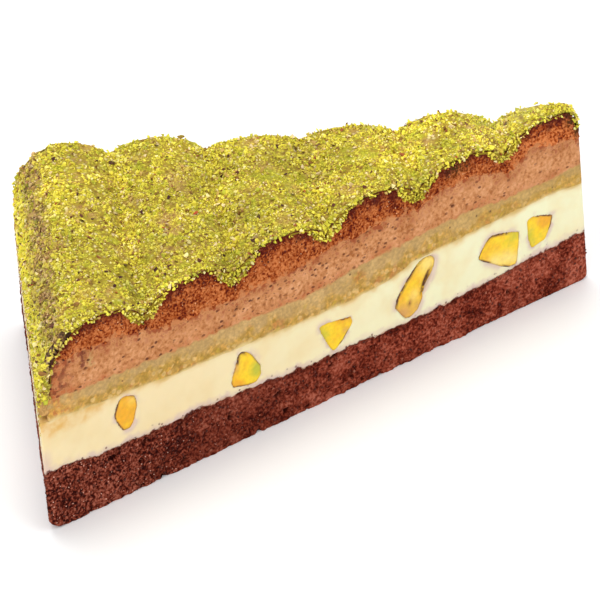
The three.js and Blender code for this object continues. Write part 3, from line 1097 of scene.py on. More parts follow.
@dataclass(frozen=True)
class CocoaFinish:
    """Moist reddish brown cocoa grain, darkest under the coat, with painted shade in its pits and painted
    glints.
    """

    maroon: Colour = (82, 18, 12)
    dark: Colour = (116, 38, 6)
    body: Colour = (162, 76, 28)
    light: Colour = (208, 124, 70)
    mousse: Colour = (200, 130, 82)
    nut: Colour = (150, 130, 34)
    olive: Colour = (74, 50, 16)
    # places along the wedge with dark olive crumbs under the coat, and how far each patch reaches
    patches: tuple[tuple[float, float], ...] = ((31.0, 3.8), (57.0, 2.8))
    glints: Specks = Specks((240, 186, 140), size=0.9, radius=0.2, rarity=0.68, strength=0.8)
    grain_size: float = 0.55
    grain_depth: float = 0.3
    roughness: float = 0.8
    specular: float = 0.1

    def material(self) -> bpy.types.Material:
        """Build the material."""
        mix = Recipe("cocoa_grain", self.roughness, self.specular)
        x, below, grain = mix.x(), mix.attribute("below"), mix.noise(self.grain_size, 5)
        tone = mix.tone((grain, 2.5), (mix.noise(2.2, 3), 0.8), (mix.noise(9.0, 2), 1.1))
        lower = mix.maths("SUBTRACT", mix.times(below, 0.09), 0.18)
        tone = mix.maths("ADD", tone, mix.maths("MINIMUM", lower, 0.12))
        stops = ((0.05, self.maroon), (0.27, self.dark), (0.52, self.body), (0.95, self.light))
        colour = mix.shade(mix.ramp(tone, stops), 1.0, 1.14, mix.band(x, 38, 52))
        top = mix.tone((mix.times(below, 0.28), 1.0), (mix.noise(3.4, 4), 2.4))
        colour = mix.lay(colour, self.maroon, mix.band(top, 0.1, 0.75, 0.85, 0))
        # pale specks painted as highlights on the moist grain
        colour = mix.strew(colour, self.glints)
        # painted shade: the relief's pits are darkened towards maroon
        colour = mix.lay(colour, self.maroon, mix.band(mix.attribute("pit"), 0.4, 1, 0, 0.7))
        crumbs = mix.times(mix.band(below, 5.2, 1.6), mix.band(grain, 0.42, 0.56, 0.95, 0.25))
        for middle, reach in self.patches:
            colour = mix.lay(colour, self.olive, mix.band(mix.away(x, middle), reach, 0.3 * reach), crumbs)
        over = MOUSSE_TO_COCOA.over(mix, above=True)
        colour = mix.mix(MOUSSE_TO_COCOA.share(mix, over), self.mousse, colour)
        colour = mix.lay(colour, self.nut, mix.band(mix.attribute("spill"), 0.3, 0.7, 0, 0.9))
        return mix.done(colour, grain, self.grain_depth)


@dataclass(frozen=True)
class NutFinish:
    """Ground pistachio: each grain takes a colour by its tint."""

    name: str
    colours: Stops
    band: Stops = (
        (0.0, (168, 122, 92)),
        (0.3, (108, 64, 50)),
        (0.55, (214, 176, 130)),
        (0.75, (92, 52, 42)),
        (0.9, (186, 140, 90)),
    )
    band_share: float = 0.62  # how strong the brown band is that runs along the outer end's upper corner
    band_inwards: float = 4.1
    tan: Patches = Patches((190, 146, 92), size=6.0, detail=3, low=0.53, high=0.7, strength=0.45)
    green: Patches = Patches((176, 180, 40), size=5.0, detail=2, low=0.55, high=0.7, strength=0.45)
    dusty: Colour = (236, 226, 172)
    grain_size: float = 0.3
    grain_depth: float = 0.05
    packed: float = 0.0  # size of the grains of a packed mass, where it isn't a loose crumb
    packed_depth: float = 0.35
    # painted shade between the packed grains
    gap: Colour = (150, 126, 34)
    # painted shade in the upright slots
    groove: Colour = (52, 26, 12)
    smear: Colour = (216, 166, 88)
    slant: float = 0.6  # of the long cut side, as a rise across the wedge for each step along it
    roughness: float = 0.75
    specular: float = 0.25

    def material(self) -> bpy.types.Material:
        """Build the material."""
        mix = Recipe(self.name, self.roughness, self.specular)
        x, tint = mix.x(), mix.attribute("tint")
        if self.packed:
            distance, marks = mix.grains(self.packed)
            colour = mix.ramp(mix.band(marks, 0.15, 0.85), self.colours, hard=True)
            # painted shade in the crevices between packed grains and in the low places of the lumps
            colour = mix.lay(colour, self.gap, mix.band(distance, 0.35, 0.65), 0.9)
            colour = mix.lay(colour, self.gap, mix.band(tint, 0.0, 0.7, 1, 0.25), 0.5)
            # painted shade: the slots are darkened
            colour = mix.lay(colour, self.groove, mix.band(mix.attribute("groove"), 0.2, 0.7))
            smear = mix.mix(mix.noise(1.4, 3), self.smear, self.tan.colour)
            colour = mix.lay(colour, smear, mix.attribute("smear"))
            relief, depth = mix.band(distance, 0.1, 0.7, 1, 0), self.packed_depth
        else:
            colour = mix.ramp(tint, self.colours, hard=True)
            relief, depth = mix.noise(self.grain_size, 2), self.grain_depth
        if self.band_share:
            colour = mix.patch(mix.patch(colour, self.tan), self.green)
            stray = mix.maths("ADD", x, mix.swing(mix.noise(4.0), 4.0))
            away = mix.away(stray, CAD_BOX[0][0] / MM + self.band_inwards)
            near = mix.times(mix.band(away, 0.7, 2.7, 1, 0), mix.band(mix.noise(1.6), 0.38, 0.58, 0.3, 1.3))
            colour = mix.lay(colour, mix.ramp(tint, self.band, hard=True), near, self.band_share)
        colour = mix.shade(colour, 0.8, 1.16, mix.noise(0.5, 2))
        colour = mix.shade(colour, 0.74, 1.24, mix.noise(9.0, 3))
        colour = mix.shade(colour, 1.02, 1.14, mix.band(x, -20, 45))
        far = mix.maths("SUBTRACT", mix.y(), mix.times(x, self.slant))  # how far behind the long cut side
        colour = mix.shade(colour, 1.0, 1.12, mix.band(far, 28, 58))
        inner = mix.times(mix.band(far, -1.0, 5.0, -0.35, 0.65), mix.band(x, 5, 25))
        colour = mix.shade(colour, 0.96, 1.07, mix.maths("ADD", inner, 0.35))
        if self.band_share:
            colour = mix.lay(colour, self.dusty, mix.band(x, 30, 50, 0, 0.15), mix.band(far, 0.0, 5.0))
        return mix.done(colour, relief, depth)


@dataclass(frozen=True)
class KernelFinish:
    """Cut kernel: golden to yellow-green, with a darker skin at its edge."""

    golden: Colour = (240, 172, 24)
    yellow: Colour = (251, 210, 24)
    green: Colour = (196, 192, 48)
    pale: Colour = (252, 226, 132)
    tan: Colour = (216, 160, 88)
    skin: Colour = (76, 32, 18)
    brown: Colour = (150, 90, 44)
    grain_size: float = 0.8
    grain_depth: float = 0.08
    depth: float = 0.8  # how deep light goes in
    roughness: float = 0.45
    specular: float = 0.35

    def material(self) -> bpy.types.Material:
        """Build the material."""
        mix = Recipe("pistachio_kernel", self.roughness, self.specular)
        skin, grain = mix.attribute("skin"), mix.noise(self.grain_size, 3)
        ripe = mix.tone((mix.attribute("ripe"), 1.0), (mix.noise(2.0, 3), 0.7))
        colour = mix.ramp(ripe, ((0.1, self.golden), (0.45, self.yellow), (0.9, self.green)))
        colour = mix.lay(colour, self.pale, mix.attribute("pale"))
        colour = mix.lay(colour, self.tan, mix.attribute("tan"))
        colour = mix.shade(colour, 0.86, 1.1, grain)
        dark = mix.band(mix.tone((skin, 1.0), (mix.noise(1.0, 3), 1.6)), 0.3, 0.9)
        worn = mix.band(mix.noise(1.1, 3), 0.3, 0.5, 0.35, 1)
        colour = mix.lay(colour, mix.mix(dark, self.brown, self.skin), skin, worn)
        mix.soften(0.12, (1.0, 0.7, 0.2), self.depth)
        return mix.done(colour, grain, self.grain_depth)


@dataclass
class Sponge:
    """The chocolate sponge at the bottom."""

    stack: LayerStack
    crumb_size: float = 1.2
    crumb_depth: float = 0.5
    pore_cell: float = 2.4
    pore_depth: float = 0.9
    lump_size: float = 6.0
    lump_depth: float = 0.25
    grid: LayerGrid = LayerGrid(rows=40, bottom=36)

    def __post_init__(self) -> None:
        """Seed the textures."""
        self.noise, self.crumb, self.pores = Noise(21), Grains(22), Grains(24)

    def texture(self, points: np.ndarray) -> np.ndarray:
        """Distance outwards of the open crumb, 0 at its highest."""
        away, mark = self.crumb.nearest(points, self.crumb_size)
        grain = self.crumb_depth * (np.clip(1 - away / 0.75, -0.3, 1) * (0.6 + 0.6 * mark) - 0.9)
        bent = points + self.noise.waves(points, 1.4)[:, None] * 0.35
        hole, kind = self.pores.nearest(bent, self.pore_cell)
        radius = 0.16 + 0.34 * kind
        bowl = np.where(kind < 0.6, np.clip(1 - (hole / radius) ** 2, 0, 1), 0)
        lump = self.lump_depth * self.noise.lumps(points, self.lump_size, 4)
        return grain + lump - self.pore_depth * np.sqrt(bowl) * (0.6 + kind)

    def relief(self, skin: WallSkin) -> tuple[np.ndarray, dict[str, np.ndarray]]:
        """Open crumb on the upright sides."""
        out = np.minimum(self.texture(skin.points), 0.05)
        open_x = smooth(20, -30, skin.points[:, 0]) * 0.4 + 0.6
        loose = smooth(-1.1, -0.4, out) * open_x * (skin.above > 1)
        return out, {"pit": np.clip(-out / 1.3, 0, 1), "loose": loose}

    def under(self, skin: WallSkin) -> tuple[np.ndarray, dict[str, np.ndarray]]:
        """Baked underside with shallow pores."""
        out = self.texture(skin.points) + 0.3
        return np.clip(-out * 0.6, 0, 0.6), {"pit": np.clip(-out / 1.5, 0, 1)}

    def build(self) -> bpy.types.Object:
        """Make the piece."""
        shape = LayerShape(self.stack, Edge.BASE, Edge.SPONGE_TOP, self.stack.plan.rim_x, self.grid)
        mesh = shape.mesh("sponge", self.relief, self.under)
        return finished("sponge", mesh, SpongeFinish().material(), ["chocolate_sponge"])


@dataclass(frozen=True)
class SkinArc:
    """Dark skin on a kernel's edge, from one angle to another, anticlockwise from its right."""

    start: float
    end: float
    width: float


class Mark(Enum):
    """What a dab puts on a kernel's cut face."""

    RIPE = "ripe"
    PALE = "pale"
    TAN = "tan"
    SKIN = "skin"
    CREVICE = "crevice"


@dataclass(frozen=True)
class Dab:
    """A soft round patch on a cut face. Its place is counted from the middle of the face."""

    mark: Mark
    along: float
    up: float
    reach: float
    strength: float = 1.0

    def weight(self, away: np.ndarray) -> np.ndarray:
        """How strong the patch is at places counted from the middle."""
        distance = np.hypot(away[:, 0] - self.along, away[:, 1] - self.up)
        return self.strength * np.exp(-((distance / self.reach) ** 2))


@dataclass(frozen=True)
class Pull:
    """Draws a kernel's outline out to a corner, at an angle anticlockwise from its right."""

    angle: float
    distance: float
    spread: float = 0.2  # in radians

    def push(self, angle: np.ndarray) -> np.ndarray:
        """How far the outline moves out at other angles round the middle."""
        return self.distance * np.exp(-turned(angle, math.radians(self.angle)) / self.spread)


@dataclass(frozen=True)
class KernelLook:
    """How one kernel's cut face is shaped and coloured: ripe 0 is golden and 1 is green."""

    ripe: float
    rind: float = 0.8  # how dark the thin edge is all round
    skins: tuple[SkinArc, ...] = ()
    dabs: tuple[Dab, ...] = ()
    pulls: tuple[Pull, ...] = ()


@dataclass
class Kernel:
    """One kernel piece, its cut face in a side of the cake."""

    node: str
    plane: SidePlane
    look: KernelLook
    points_round: int = 64
    rind_width: float = 0.6
    face_depth: float = 0.16
    crevice_depth: float = 0.9
    lump_size: float = 2.4
    # share of the outline and distance behind the cut side, from the middle of the cut face to the back
    face_rings: tuple[tuple[float, float], ...] = (
        (0.14, 0.1), (0.32, 0.1), (0.5, 0.1), (0.66, 0.1), (0.79, 0.1),
        (0.89, 0.12), (0.95, 0.18), (0.985, 0.28), (1.0, 0.45),
    )
    body_rings: tuple[tuple[float, float], ...] = (
        (1.0, 1.0), (0.98, 2.2), (0.9, 3.2), (0.72, 3.9), (0.42, 4.3),
    )

    def __post_init__(self) -> None:
        """Read the outline of the cut face from the frame and round it."""
        points = node_points(self.node)
        along, out = self.plane.flatten(points)
        flat = np.column_stack([along, points[:, 2]])[np.abs(out) < TOUCH]
        flat = np.unique(np.round(flat, 3), axis=0)
        self.middle = (flat.min(0) + flat.max(0)) / 2
        around = flat - flat.mean(0)
        reach = np.linalg.norm(around, axis=1)
        ring = flat[reach > 0.3 * reach.max()]
        ring = ring[np.argsort(np.arctan2(*(ring - flat.mean(0)).T[::-1]))]
        self.outline = self.cornered(self.rounded(ring))
        self.noise = Noise(len(self.node) * 7 + int(self.middle[0] * 10))

    def rounded(self, ring: np.ndarray) -> np.ndarray:
        """A smooth closed curve through the corners, at even steps."""
        steps = np.linalg.norm(np.roll(ring, -1, axis=0) - ring, axis=1)
        far = np.concatenate([[0], np.cumsum(steps)])
        closed = np.vstack([ring, ring[:1]])
        wanted = np.arange(self.points_round) / self.points_round * far[-1]
        curve = np.column_stack([np.interp(wanted, far, closed[:, k]) for k in range(2)])
        for _ in range(2):
            curve = (np.roll(curve, 1, axis=0) + 2 * curve + np.roll(curve, -1, axis=0)) / 4
        return curve

    def cornered(self, curve: np.ndarray) -> np.ndarray:
        """The curve with the look's corners drawn out."""
        away = curve - self.middle
        angle = np.arctan2(away[:, 1], away[:, 0])
        push = sum((pull.push(angle) for pull in self.look.pulls), np.zeros(len(curve)))
        return curve + away / np.linalg.norm(away, axis=1, keepdims=True) * push[:, None]

    def inside(self, along: np.ndarray, height: np.ndarray) -> np.ndarray:
        """Distance inside the outline of places on the cut side, less than 0 outside it."""
        spots = np.column_stack([along, height])
        start, end = self.outline, np.roll(self.outline, -1, axis=0)
        way = end - start
        offset = spots[:, None, :] - start[None]
        share = np.clip((offset * way).sum(-1) / (way**2).sum(-1), 0, 1)
        distance = np.linalg.norm(offset - share[..., None] * way, axis=-1).min(1)
        crosses = (start[:, 1] > spots[:, None, 1]) != (end[:, 1] > spots[:, None, 1])
        lift = np.where(np.abs(way[:, 1]) > 1e-9, way[:, 1], 1e-9)
        at = start[:, 0] + (spots[:, None, 1] - start[:, 1]) / lift * way[:, 0]
        odd = (crosses & (spots[:, None, 0] < at)).sum(1) % 2 == 1
        return np.where(odd, distance, -distance)

    def skin(self, angle: np.ndarray, edge: np.ndarray) -> np.ndarray:
        """How much dark skin shows at an angle round the middle and a distance from the edge."""
        shown = self.look.rind * smooth(self.rind_width, 0.1, edge)
        for arc in self.look.skins:
            middle, half = math.radians((arc.start + arc.end) / 2), math.radians((arc.end - arc.start) / 2)
            within = smooth(half + 0.2, half - 0.15, turned(angle, middle))
            shown = np.maximum(shown, within * smooth(arc.width, 0.55 * arc.width, edge))
        return shown

    def build(self, name: str, finish: bpy.types.Material) -> bpy.types.Object:
        """Make the piece.

        Args:
            name: its name.
            finish: the kernel material.

        Returns:
            The piece.
        """
        rings = [(share, depth, True) for share, depth in self.face_rings]
        rings += [(share, depth, False) for share, depth in self.body_rings]
        centre = self.outline.mean(0)
        flat = np.concatenate([centre + (self.outline - centre) * share for share, _, _ in rings])
        depth = np.repeat([d for _, d, _ in rings], self.points_round)
        on_face = np.repeat([f for _, _, f in rings], self.points_round)
        flat = np.vstack([flat, centre, centre])
        depth = np.append(depth, [self.face_rings[0][1], self.body_rings[-1][1] + 0.1])
        on_face = np.append(on_face, [True, False])
        away = flat - centre
        edge = np.maximum(self.inside(flat[:, 0], flat[:, 1]), 0) * on_face
        marks = {mark: np.zeros(len(flat)) for mark in Mark}
        marks[Mark.RIPE] += self.look.ripe
        marks[Mark.SKIN] += self.skin(np.arctan2(away[:, 1], away[:, 0]), edge)
        for dab in self.look.dabs:
            marks[dab.mark] += dab.weight(away)
        # the crevices are sunk in and darkened as the skin is
        marks[Mark.SKIN] = np.maximum(marks[Mark.SKIN], 1.2 * marks[Mark.CREVICE])
        lumps = self.face_depth * self.noise.lumps(np.column_stack([flat, depth]), self.lump_size)
        lumps += self.crevice_depth * marks.pop(Mark.CREVICE)
        depth = np.maximum(depth + np.where(on_face, lumps, 0), TOUCH)
        points = self.plane.place(flat[:, 0], flat[:, 1], -depth)
        mesh = closed_mesh(name, points, self.faces(len(rings)))
        for mark, values in marks.items():
            write_attribute(mesh, mark.value, np.clip(values, 0, 1))
        return finished(name, mesh, finish, [self.node])

    def faces(self, rings: int) -> list[list[int]]:
        """Faces of the rings and the two closed ends."""
        n = self.points_round
        turn = [(i, (i + 1) % n) for i in range(n)]
        front, back, last = rings * n, rings * n + 1, (rings - 1) * n
        faces = [[front, i, after] for i, after in turn]
        for ring in range(0, last, n):
            faces += [[ring + i, ring + n + i, ring + n + after, ring + after] for i, after in turn]
        return faces + [[last + i, back, last + after] for i, after in turn]


@dataclass
class Cream:
    """The vanilla cream, with a hollow behind each kernel's cut face."""

    stack: LayerStack
    kernels: Sequence[Kernel]
    wave_size: float = 6.0
    wave_depth: float = 0.16
    hollow_depth: float = 1.8
    halo_reach: float = 0.9
    grid: LayerGrid = LayerGrid(rows=42)

    def relief(self, skin: WallSkin) -> tuple[np.ndarray, dict[str, np.ndarray]]:
        """Knife-smoothed sides that lap onto the kernels."""
        noise = Noise(31)
        out = self.wave_depth * (noise.lumps(skin.points, self.wave_size, 3) - 0.7)
        halo, hollow = np.zeros(len(out)), np.zeros(len(out))
        for kernel in self.kernels:
            along, distance = kernel.plane.flatten(skin.points)
            near = np.abs(distance) < 1
            near &= np.abs(along - kernel.middle[0]) < 10
            depth = kernel.inside(along[near], skin.points[near, 2])
            hollow[near] += self.hollow_depth * smooth(0.12, 0.8, depth)
            hollow[near] -= 0.12 * np.exp(-(((depth + 0.2) / 0.5) ** 2))
            halo[near] = np.maximum(halo[near], np.exp(np.minimum(depth, 0) / self.halo_reach))
        on_rim = (skin.side == Side.RIM.value) * (skin.above > 1)
        patch = smooth(-0.6, 0.5, noise.lumps(skin.points, 5.0, 3)) * smooth(2.0, 7.0, skin.above)
        return out, {
            "halo": halo,
            "hollow": hollow,
            "stray": on_rim * patch,
            "fallen": on_rim * smooth(4.5, 0.5, skin.below + 1.5 * noise.waves(skin.points, 3.0)),
        }

    def build(self) -> bpy.types.Object:
        """Make the piece."""
        shape = LayerShape(self.stack, Edge.SPONGE_TOP, Edge.CREAM_TOP, self.stack.plan.rim_x, self.grid)
        mesh = shape.mesh("cream", self.relief)
        return finished("cream", mesh, CreamFinish().material(), ["vanilla_cream"])


@dataclass
class Paste:
    """The pistachio paste over the cream."""

    stack: LayerStack
    start_x: float
    grain_size: float = 1.3
    grain_depth: float = 0.22
    grid: LayerGrid = LayerGrid(rows=20, rim=24)

    def relief(self, skin: WallSkin) -> tuple[np.ndarray, dict[str, np.ndarray]]:
        """Smooth above, with nut grains below."""
        noise, grains = Noise(41), Grains(42)
        share = skin.above / (skin.above + skin.below)
        away, mark = grains.nearest(skin.points, self.grain_size)
        grain = self.grain_depth * np.clip(0.7 - away, 0, 1) * (mark > 0.45)
        out = 0.14 * noise.lumps(skin.points, 5, 3) + grain * smooth(0.65, 0.3, share)
        return out - 0.12, {}

    def build(self) -> bpy.types.Object:
        """Make the piece."""
        shape = LayerShape(self.stack, Edge.CREAM_TOP, Edge.PASTE_TOP, self.start_x, self.grid)
        mesh = shape.mesh("paste", self.relief)
        return finished("paste", mesh, PasteFinish().material(), ["pistachio_paste"])


@dataclass
class Mousse:
    """The chocolate mousse, with a rounded lip at the outer end."""

    stack: LayerStack
    start_x: float
    pore_cell: float = 2.4
    pore_depth: float = 0.6
    lip_reach: float = 2.4
    lip_depth: float = 1.6
    grid: LayerGrid = LayerGrid(rows=28, rim=24)

    def relief(self, skin: WallSkin) -> tuple[np.ndarray, dict[str, np.ndarray]]:
        """Fine open sides with a few larger pores."""
        noise, pores = Noise(51), Grains(52)
        hole, kind = pores.nearest(skin.points * np.array([0.75, 0.9, 1.1]), self.pore_cell)
        bowl = np.where(kind < 0.4, np.clip(1 - (hole / (0.12 + 0.45 * kind)) ** 2, 0, 1), 0)
        rough = 0.12 * noise.waves(skin.points, 0.9) * (1 + 1.4 * smooth(2.0, 0.3, skin.above))
        far = skin.points[:, 0] - self.start_x
        lip = np.clip(1 - far / self.lip_reach, 0, 1) ** 2
        gap = lip * smooth(-0.5, 0.3, noise.waves(skin.points, 1.6)) * smooth(30.5, 33, skin.points[:, 2])
        out = 0.16 * noise.lumps(skin.points, 6, 3) + rough - self.pore_depth * bowl - 0.15
        out -= self.lip_depth * (0.5 * lip + gap)
        reach = smooth(6.5, 0.8, far + 2.0 * noise.waves(skin.points, 2.0)) * (skin.side == Side.LONG.value)
        return out, {"pit": np.maximum(bowl, gap), "lip": reach}

    def build(self) -> bpy.types.Object:
        """Make the piece."""
        shape = LayerShape(self.stack, Edge.PASTE_TOP, Edge.MOUSSE_TOP, self.start_x, self.grid)
        mesh = shape.mesh("mousse", self.relief)
        return finished("mousse", mesh, MousseFinish().material(), ["chocolate_mousse"])


@dataclass
class Cocoa:
    """The cocoa crumb under the coat."""

    stack: LayerStack
    start_x: float
    grain_size: float = 0.95
    grain_depth: float = 0.5
    tongue_drop: float = 0.5  # how far the coat hangs under the bottom of each of the ridges' valleys
    tongue_rise: float = 2.0  # its round lower edge rises by this much at these half widths
    tongue_left: float = 2.8
    tongue_right: float = 3.5
    grid: LayerGrid = LayerGrid(rows=26, along=520, rim=24, top=10)

    def tongues(self, skin: WallSkin) -> np.ndarray:
        """Distance under the cocoa's top that rounded tongues of the coat reach in the valleys."""
        x, top = skin.points[:, 0], skin.points[:, 2] + skin.below
        reach = np.zeros(len(x))
        for side in (Side.LONG, Side.SHORT):
            on_side = skin.side == side.value
            for k, valley in enumerate(self.stack.valleys(side)):
                away = x - valley
                share = np.abs(away) / np.where(away < 0, self.tongue_left, self.tongue_right)
                near = on_side & (share < 2)
                drop = self.tongue_drop * (0.6 + 0.8 * (k % 2))
                bottom = top[near].min() - drop + self.tongue_rise * share**2
                reach = np.where(near, np.maximum(reach, top - bottom), reach)
        return reach

    def relief(self, skin: WallSkin) -> tuple[np.ndarray, dict[str, np.ndarray]]:
        """Packed moist grains."""
        noise, grains = Noise(61), Grains(62)
        away, mark = grains.nearest(skin.points, self.grain_size)
        out = self.grain_depth * (np.clip(1 - away / 0.8, 0, 1) * (0.5 + mark) - 0.75)
        out += 0.2 * noise.lumps(skin.points, 3, 3)
        drop = np.maximum(0.35, self.tongues(skin)) + 0.5 * noise.lumps(skin.points, 2.0, 3)
        spill = smooth(0.2, -0.2, skin.below - drop) * (skin.below > 0)
        out = blend(out, 0.15 * noise.lumps(skin.points, 2.2, 2), spill)
        grainy = smooth(5.0, 1.0, skin.below) * (1 - spill)
        return out, {"pit": np.clip(-out / 0.8, 0, 1), "spill": spill, "grainy": grainy}

    def build(self) -> bpy.types.Object:
        """Make the piece."""
        shape = LayerShape(self.stack, Edge.MOUSSE_TOP, Edge.COCOA_TOP, self.start_x, self.grid)
        mesh = shape.mesh("cocoa", self.relief)
        return finished("cocoa", mesh, CocoaFinish().material(), ["cocoa_layer"])


@dataclass
class NutCoat:
    """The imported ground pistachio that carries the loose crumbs."""

    voxel: float = 0.6
    pull_in: float = 0.55
    rim_pull_in: float = 0.7
    lump_size: float = 2.1
    lump_depth: float = 0.7
    deepest: float = -0.85  # keeps the coat whole where it is thinnest
    rim_reach: float = 2.0  # the outer end's face lies within this distance of the end
    skirt_reach: float = 6.0  # and the skirt's inner face within this
    skirt_top: float = 42.0
    lowest_underside: float = 28.0  # faces that look down above this height lie on the cocoa
    hem: float = 3.4  # the skirt's lower edge rises in places by up to this much
    smear_top: float = 32.0  # under this height the skirt is smeared with paste at the cut sides
    groove_depth: float = 1.5
    # upright slots at the cut sides, painted dark as shade: distance from the outer end, lowest and highest
    # point, half width
    slots: tuple[tuple[float, float, float, float], ...] = ((3.9, 37.8, 45.4, 1.05), (6.8, 40.8, 45.2, 0.95))

    def grooves(self, points: np.ndarray, cut: np.ndarray, rim_x: float) -> np.ndarray:
        """Where upright gaps, painted dark as shade, part the skirt from the layers at the cut sides, from 0
        to 1.
        """
        inwards = points[:, 0] - rim_x + 0.5 * Noise(74).waves(points, 1.8)
        groove = np.zeros(len(points))
        for middle, low, high, half in self.slots:
            place = smooth(half + 0.3, half - 0.2, np.abs(inwards - middle))
            place *= smooth(low, low + 0.9, points[:, 2]) * smooth(high, high - 0.9, points[:, 2])
            groove = np.maximum(groove, place)
        return cut * groove

    def evened(self) -> bpy.types.Mesh:
        """The solid coat with even small faces."""
        source = frame["nodes"]["pistachio_coat"].data.copy()
        shell = bmesh.new()
        shell.from_mesh(source)
        bmesh.ops.remove_doubles(shell, verts=shell.verts, dist=1e-6)
        shell.to_mesh(source)
        shell.free()
        carrier = bpy.data.objects.new("coat_carrier", source)
        bpy.context.scene.collection.objects.link(carrier)
        remesh = carrier.modifiers.new("even", "REMESH")
        remesh.mode = "VOXEL"
        remesh.voxel_size = self.voxel * MM
        return baked(carrier, "coat_core")

    def build(self) -> bpy.types.Object:
        """Make the piece, with the share of crumbs that each place gets in its attributes."""
        mesh = self.evened()
        points, normals = mesh_points(mesh) / MM, np.zeros(len(mesh.vertices) * 3)
        mesh.vertex_normals.foreach_get("vector", normals)
        normals, count = normals.reshape(-1, 3), len(points)
        rim_x = CAD_BOX[0][0] / MM
        rim = points[:, 0] < rim_x + self.rim_reach
        hidden = (normals[:, 2] < -0.25) & (points[:, 2] > self.lowest_underside)
        in_skirt = (points[:, 0] < rim_x + self.skirt_reach) & (points[:, 2] < self.skirt_top)
        hidden |= (normals[:, 0] > 0.8) & in_skirt
        shown = 1.0 - hidden
        cut, corner = np.zeros(count), np.zeros(count)
        for side in (Side.LONG, Side.SHORT):
            depth = WedgePlan.from_frame().side(side).flatten(points)[1]
            cut = np.maximum(cut, smooth(-1.0, -0.35, depth))
            corner = np.maximum(corner, smooth(-2.6, -1.2, depth))
        away, mark = Grains(71).nearest(points, self.lump_size)
        grain = np.clip(1 - away / 0.8, 0, 1) * (0.5 + mark)
        lump = self.lump_depth * (grain - 0.5) * (1 - 0.6 * cut)
        lump += 0.25 * Noise(72).lumps(points, 5, 3) * (1 - cut)
        out = lump - blend(np.where(rim, self.rim_pull_in, self.pull_in), 0.35, cut)
        groove = self.grooves(points, cut, rim_x)
        out = np.maximum(out, np.where(rim, -1.6, self.deepest)) - self.groove_depth * groove
        points += normals * (np.minimum(out, 0) * shown)[:, None]
        ragged = smooth(-0.5, 0.7, Noise(75).lumps(points * np.array([1.0, 1.0, 0.2]), 5, 3))
        points[:, 2] += self.hem * np.maximum(0.45 * ragged, 0.25 * cut) * smooth(33.0, 27.0, points[:, 2])
        move_points(mesh, points * MM)
        skirt = smooth(34, 30, points[:, 2]) * smooth(rim_x + 4, rim_x + 2.5, points[:, 0])
        patch = 0.5 + 0.5 * Noise(73).lumps(points, 9, 2)
        write_attribute(mesh, "tint", np.clip(grain * 0.8 + 0.2 * patch, 0, 1))
        write_attribute(mesh, "groove", groove)
        hung = points[:, 2] + 0.8 * Noise(76).waves(points, 2.2)
        smear = corner * smooth(self.smear_top, self.smear_top - 1.6, hung)
        write_attribute(mesh, "smear", smear)
        clear = (1 - smooth(0.1, 0.35, groove)) * (1 - smear)
        shown *= clear
        write_attribute(mesh, "cover", shown)
        write_attribute(mesh, "band", smooth(0.2, 0.8, cut) * clear)
        write_attribute(mesh, "skirt", shown * skirt)
        write_attribute(mesh, "patchy", shown * smooth(0.35, 0.9, patch) * (1 - skirt))
        mesh.polygons.foreach_set("use_smooth", [True] * len(mesh.polygons))
        mesh.update()
        return finished("coat_core", mesh, CORE_FINISH.material(), ["pistachio_coat"])


def baked(carrier: bpy.types.Object, name: str) -> bpy.types.Mesh:
    """The plain mesh that an object's modifiers make. The object itself is removed."""
    depsgraph = bpy.context.evaluated_depsgraph_get()
    mesh = bpy.data.meshes.new_from_object(
        carrier.evaluated_get(depsgraph), preserve_all_data_layers=True, depsgraph=depsgraph
    )
    mesh.name = name
    bpy.data.objects.remove(carrier)
    return mesh


NUT_COLOURS = (
    (0.0, (226, 211, 68)),
    (0.26, (236, 224, 78)),
    (0.46, (242, 232, 116)),
    (0.56, (210, 200, 60)),
    (0.72, (244, 230, 156)),
    (0.79, (184, 184, 54)),
    (0.87, (202, 168, 90)),
    (0.93, (238, 214, 160)),
    (0.96, (138, 96, 44)),
)
CORE_FINISH = NutFinish("packed_nut", NUT_COLOURS, packed=0.85)
CRUMB_FINISH = NutFinish("nut_crumbs", NUT_COLOURS)
FLAKE_FINISH = NutFinish(
    "skin_flakes",
    ((0.0, (96, 50, 34)), (0.4, (70, 34, 30)), (0.7, (150, 84, 48)), (0.95, (176, 72, 44))),
)
STRAY_FINISH = NutFinish(
    "stray_crumbs",
    (
        (0.0, (150, 96, 58)),
        (0.3, (226, 200, 146)),
        (0.6, (126, 122, 44)),
        (0.75, (196, 156, 92)),
        (0.9, (92, 52, 34)),
    ),
    band_share=0.0,
)
COCOA_GRAIN_FINISH = NutFinish(
    "cocoa_grains",
    ((0.0, (104, 42, 30)), (0.35, (146, 70, 42)), (0.65, (176, 92, 52)), (0.88, (84, 34, 26))),
    band_share=0.0,
)
SPONGE_CRUMB_FINISH = NutFinish(
    "sponge_crumbs",
    ((0.0, (96, 42, 31)), (0.4, (124, 58, 42)), (0.75, (70, 30, 22)), (0.93, (160, 92, 70))),
    band_share=0.0,
)


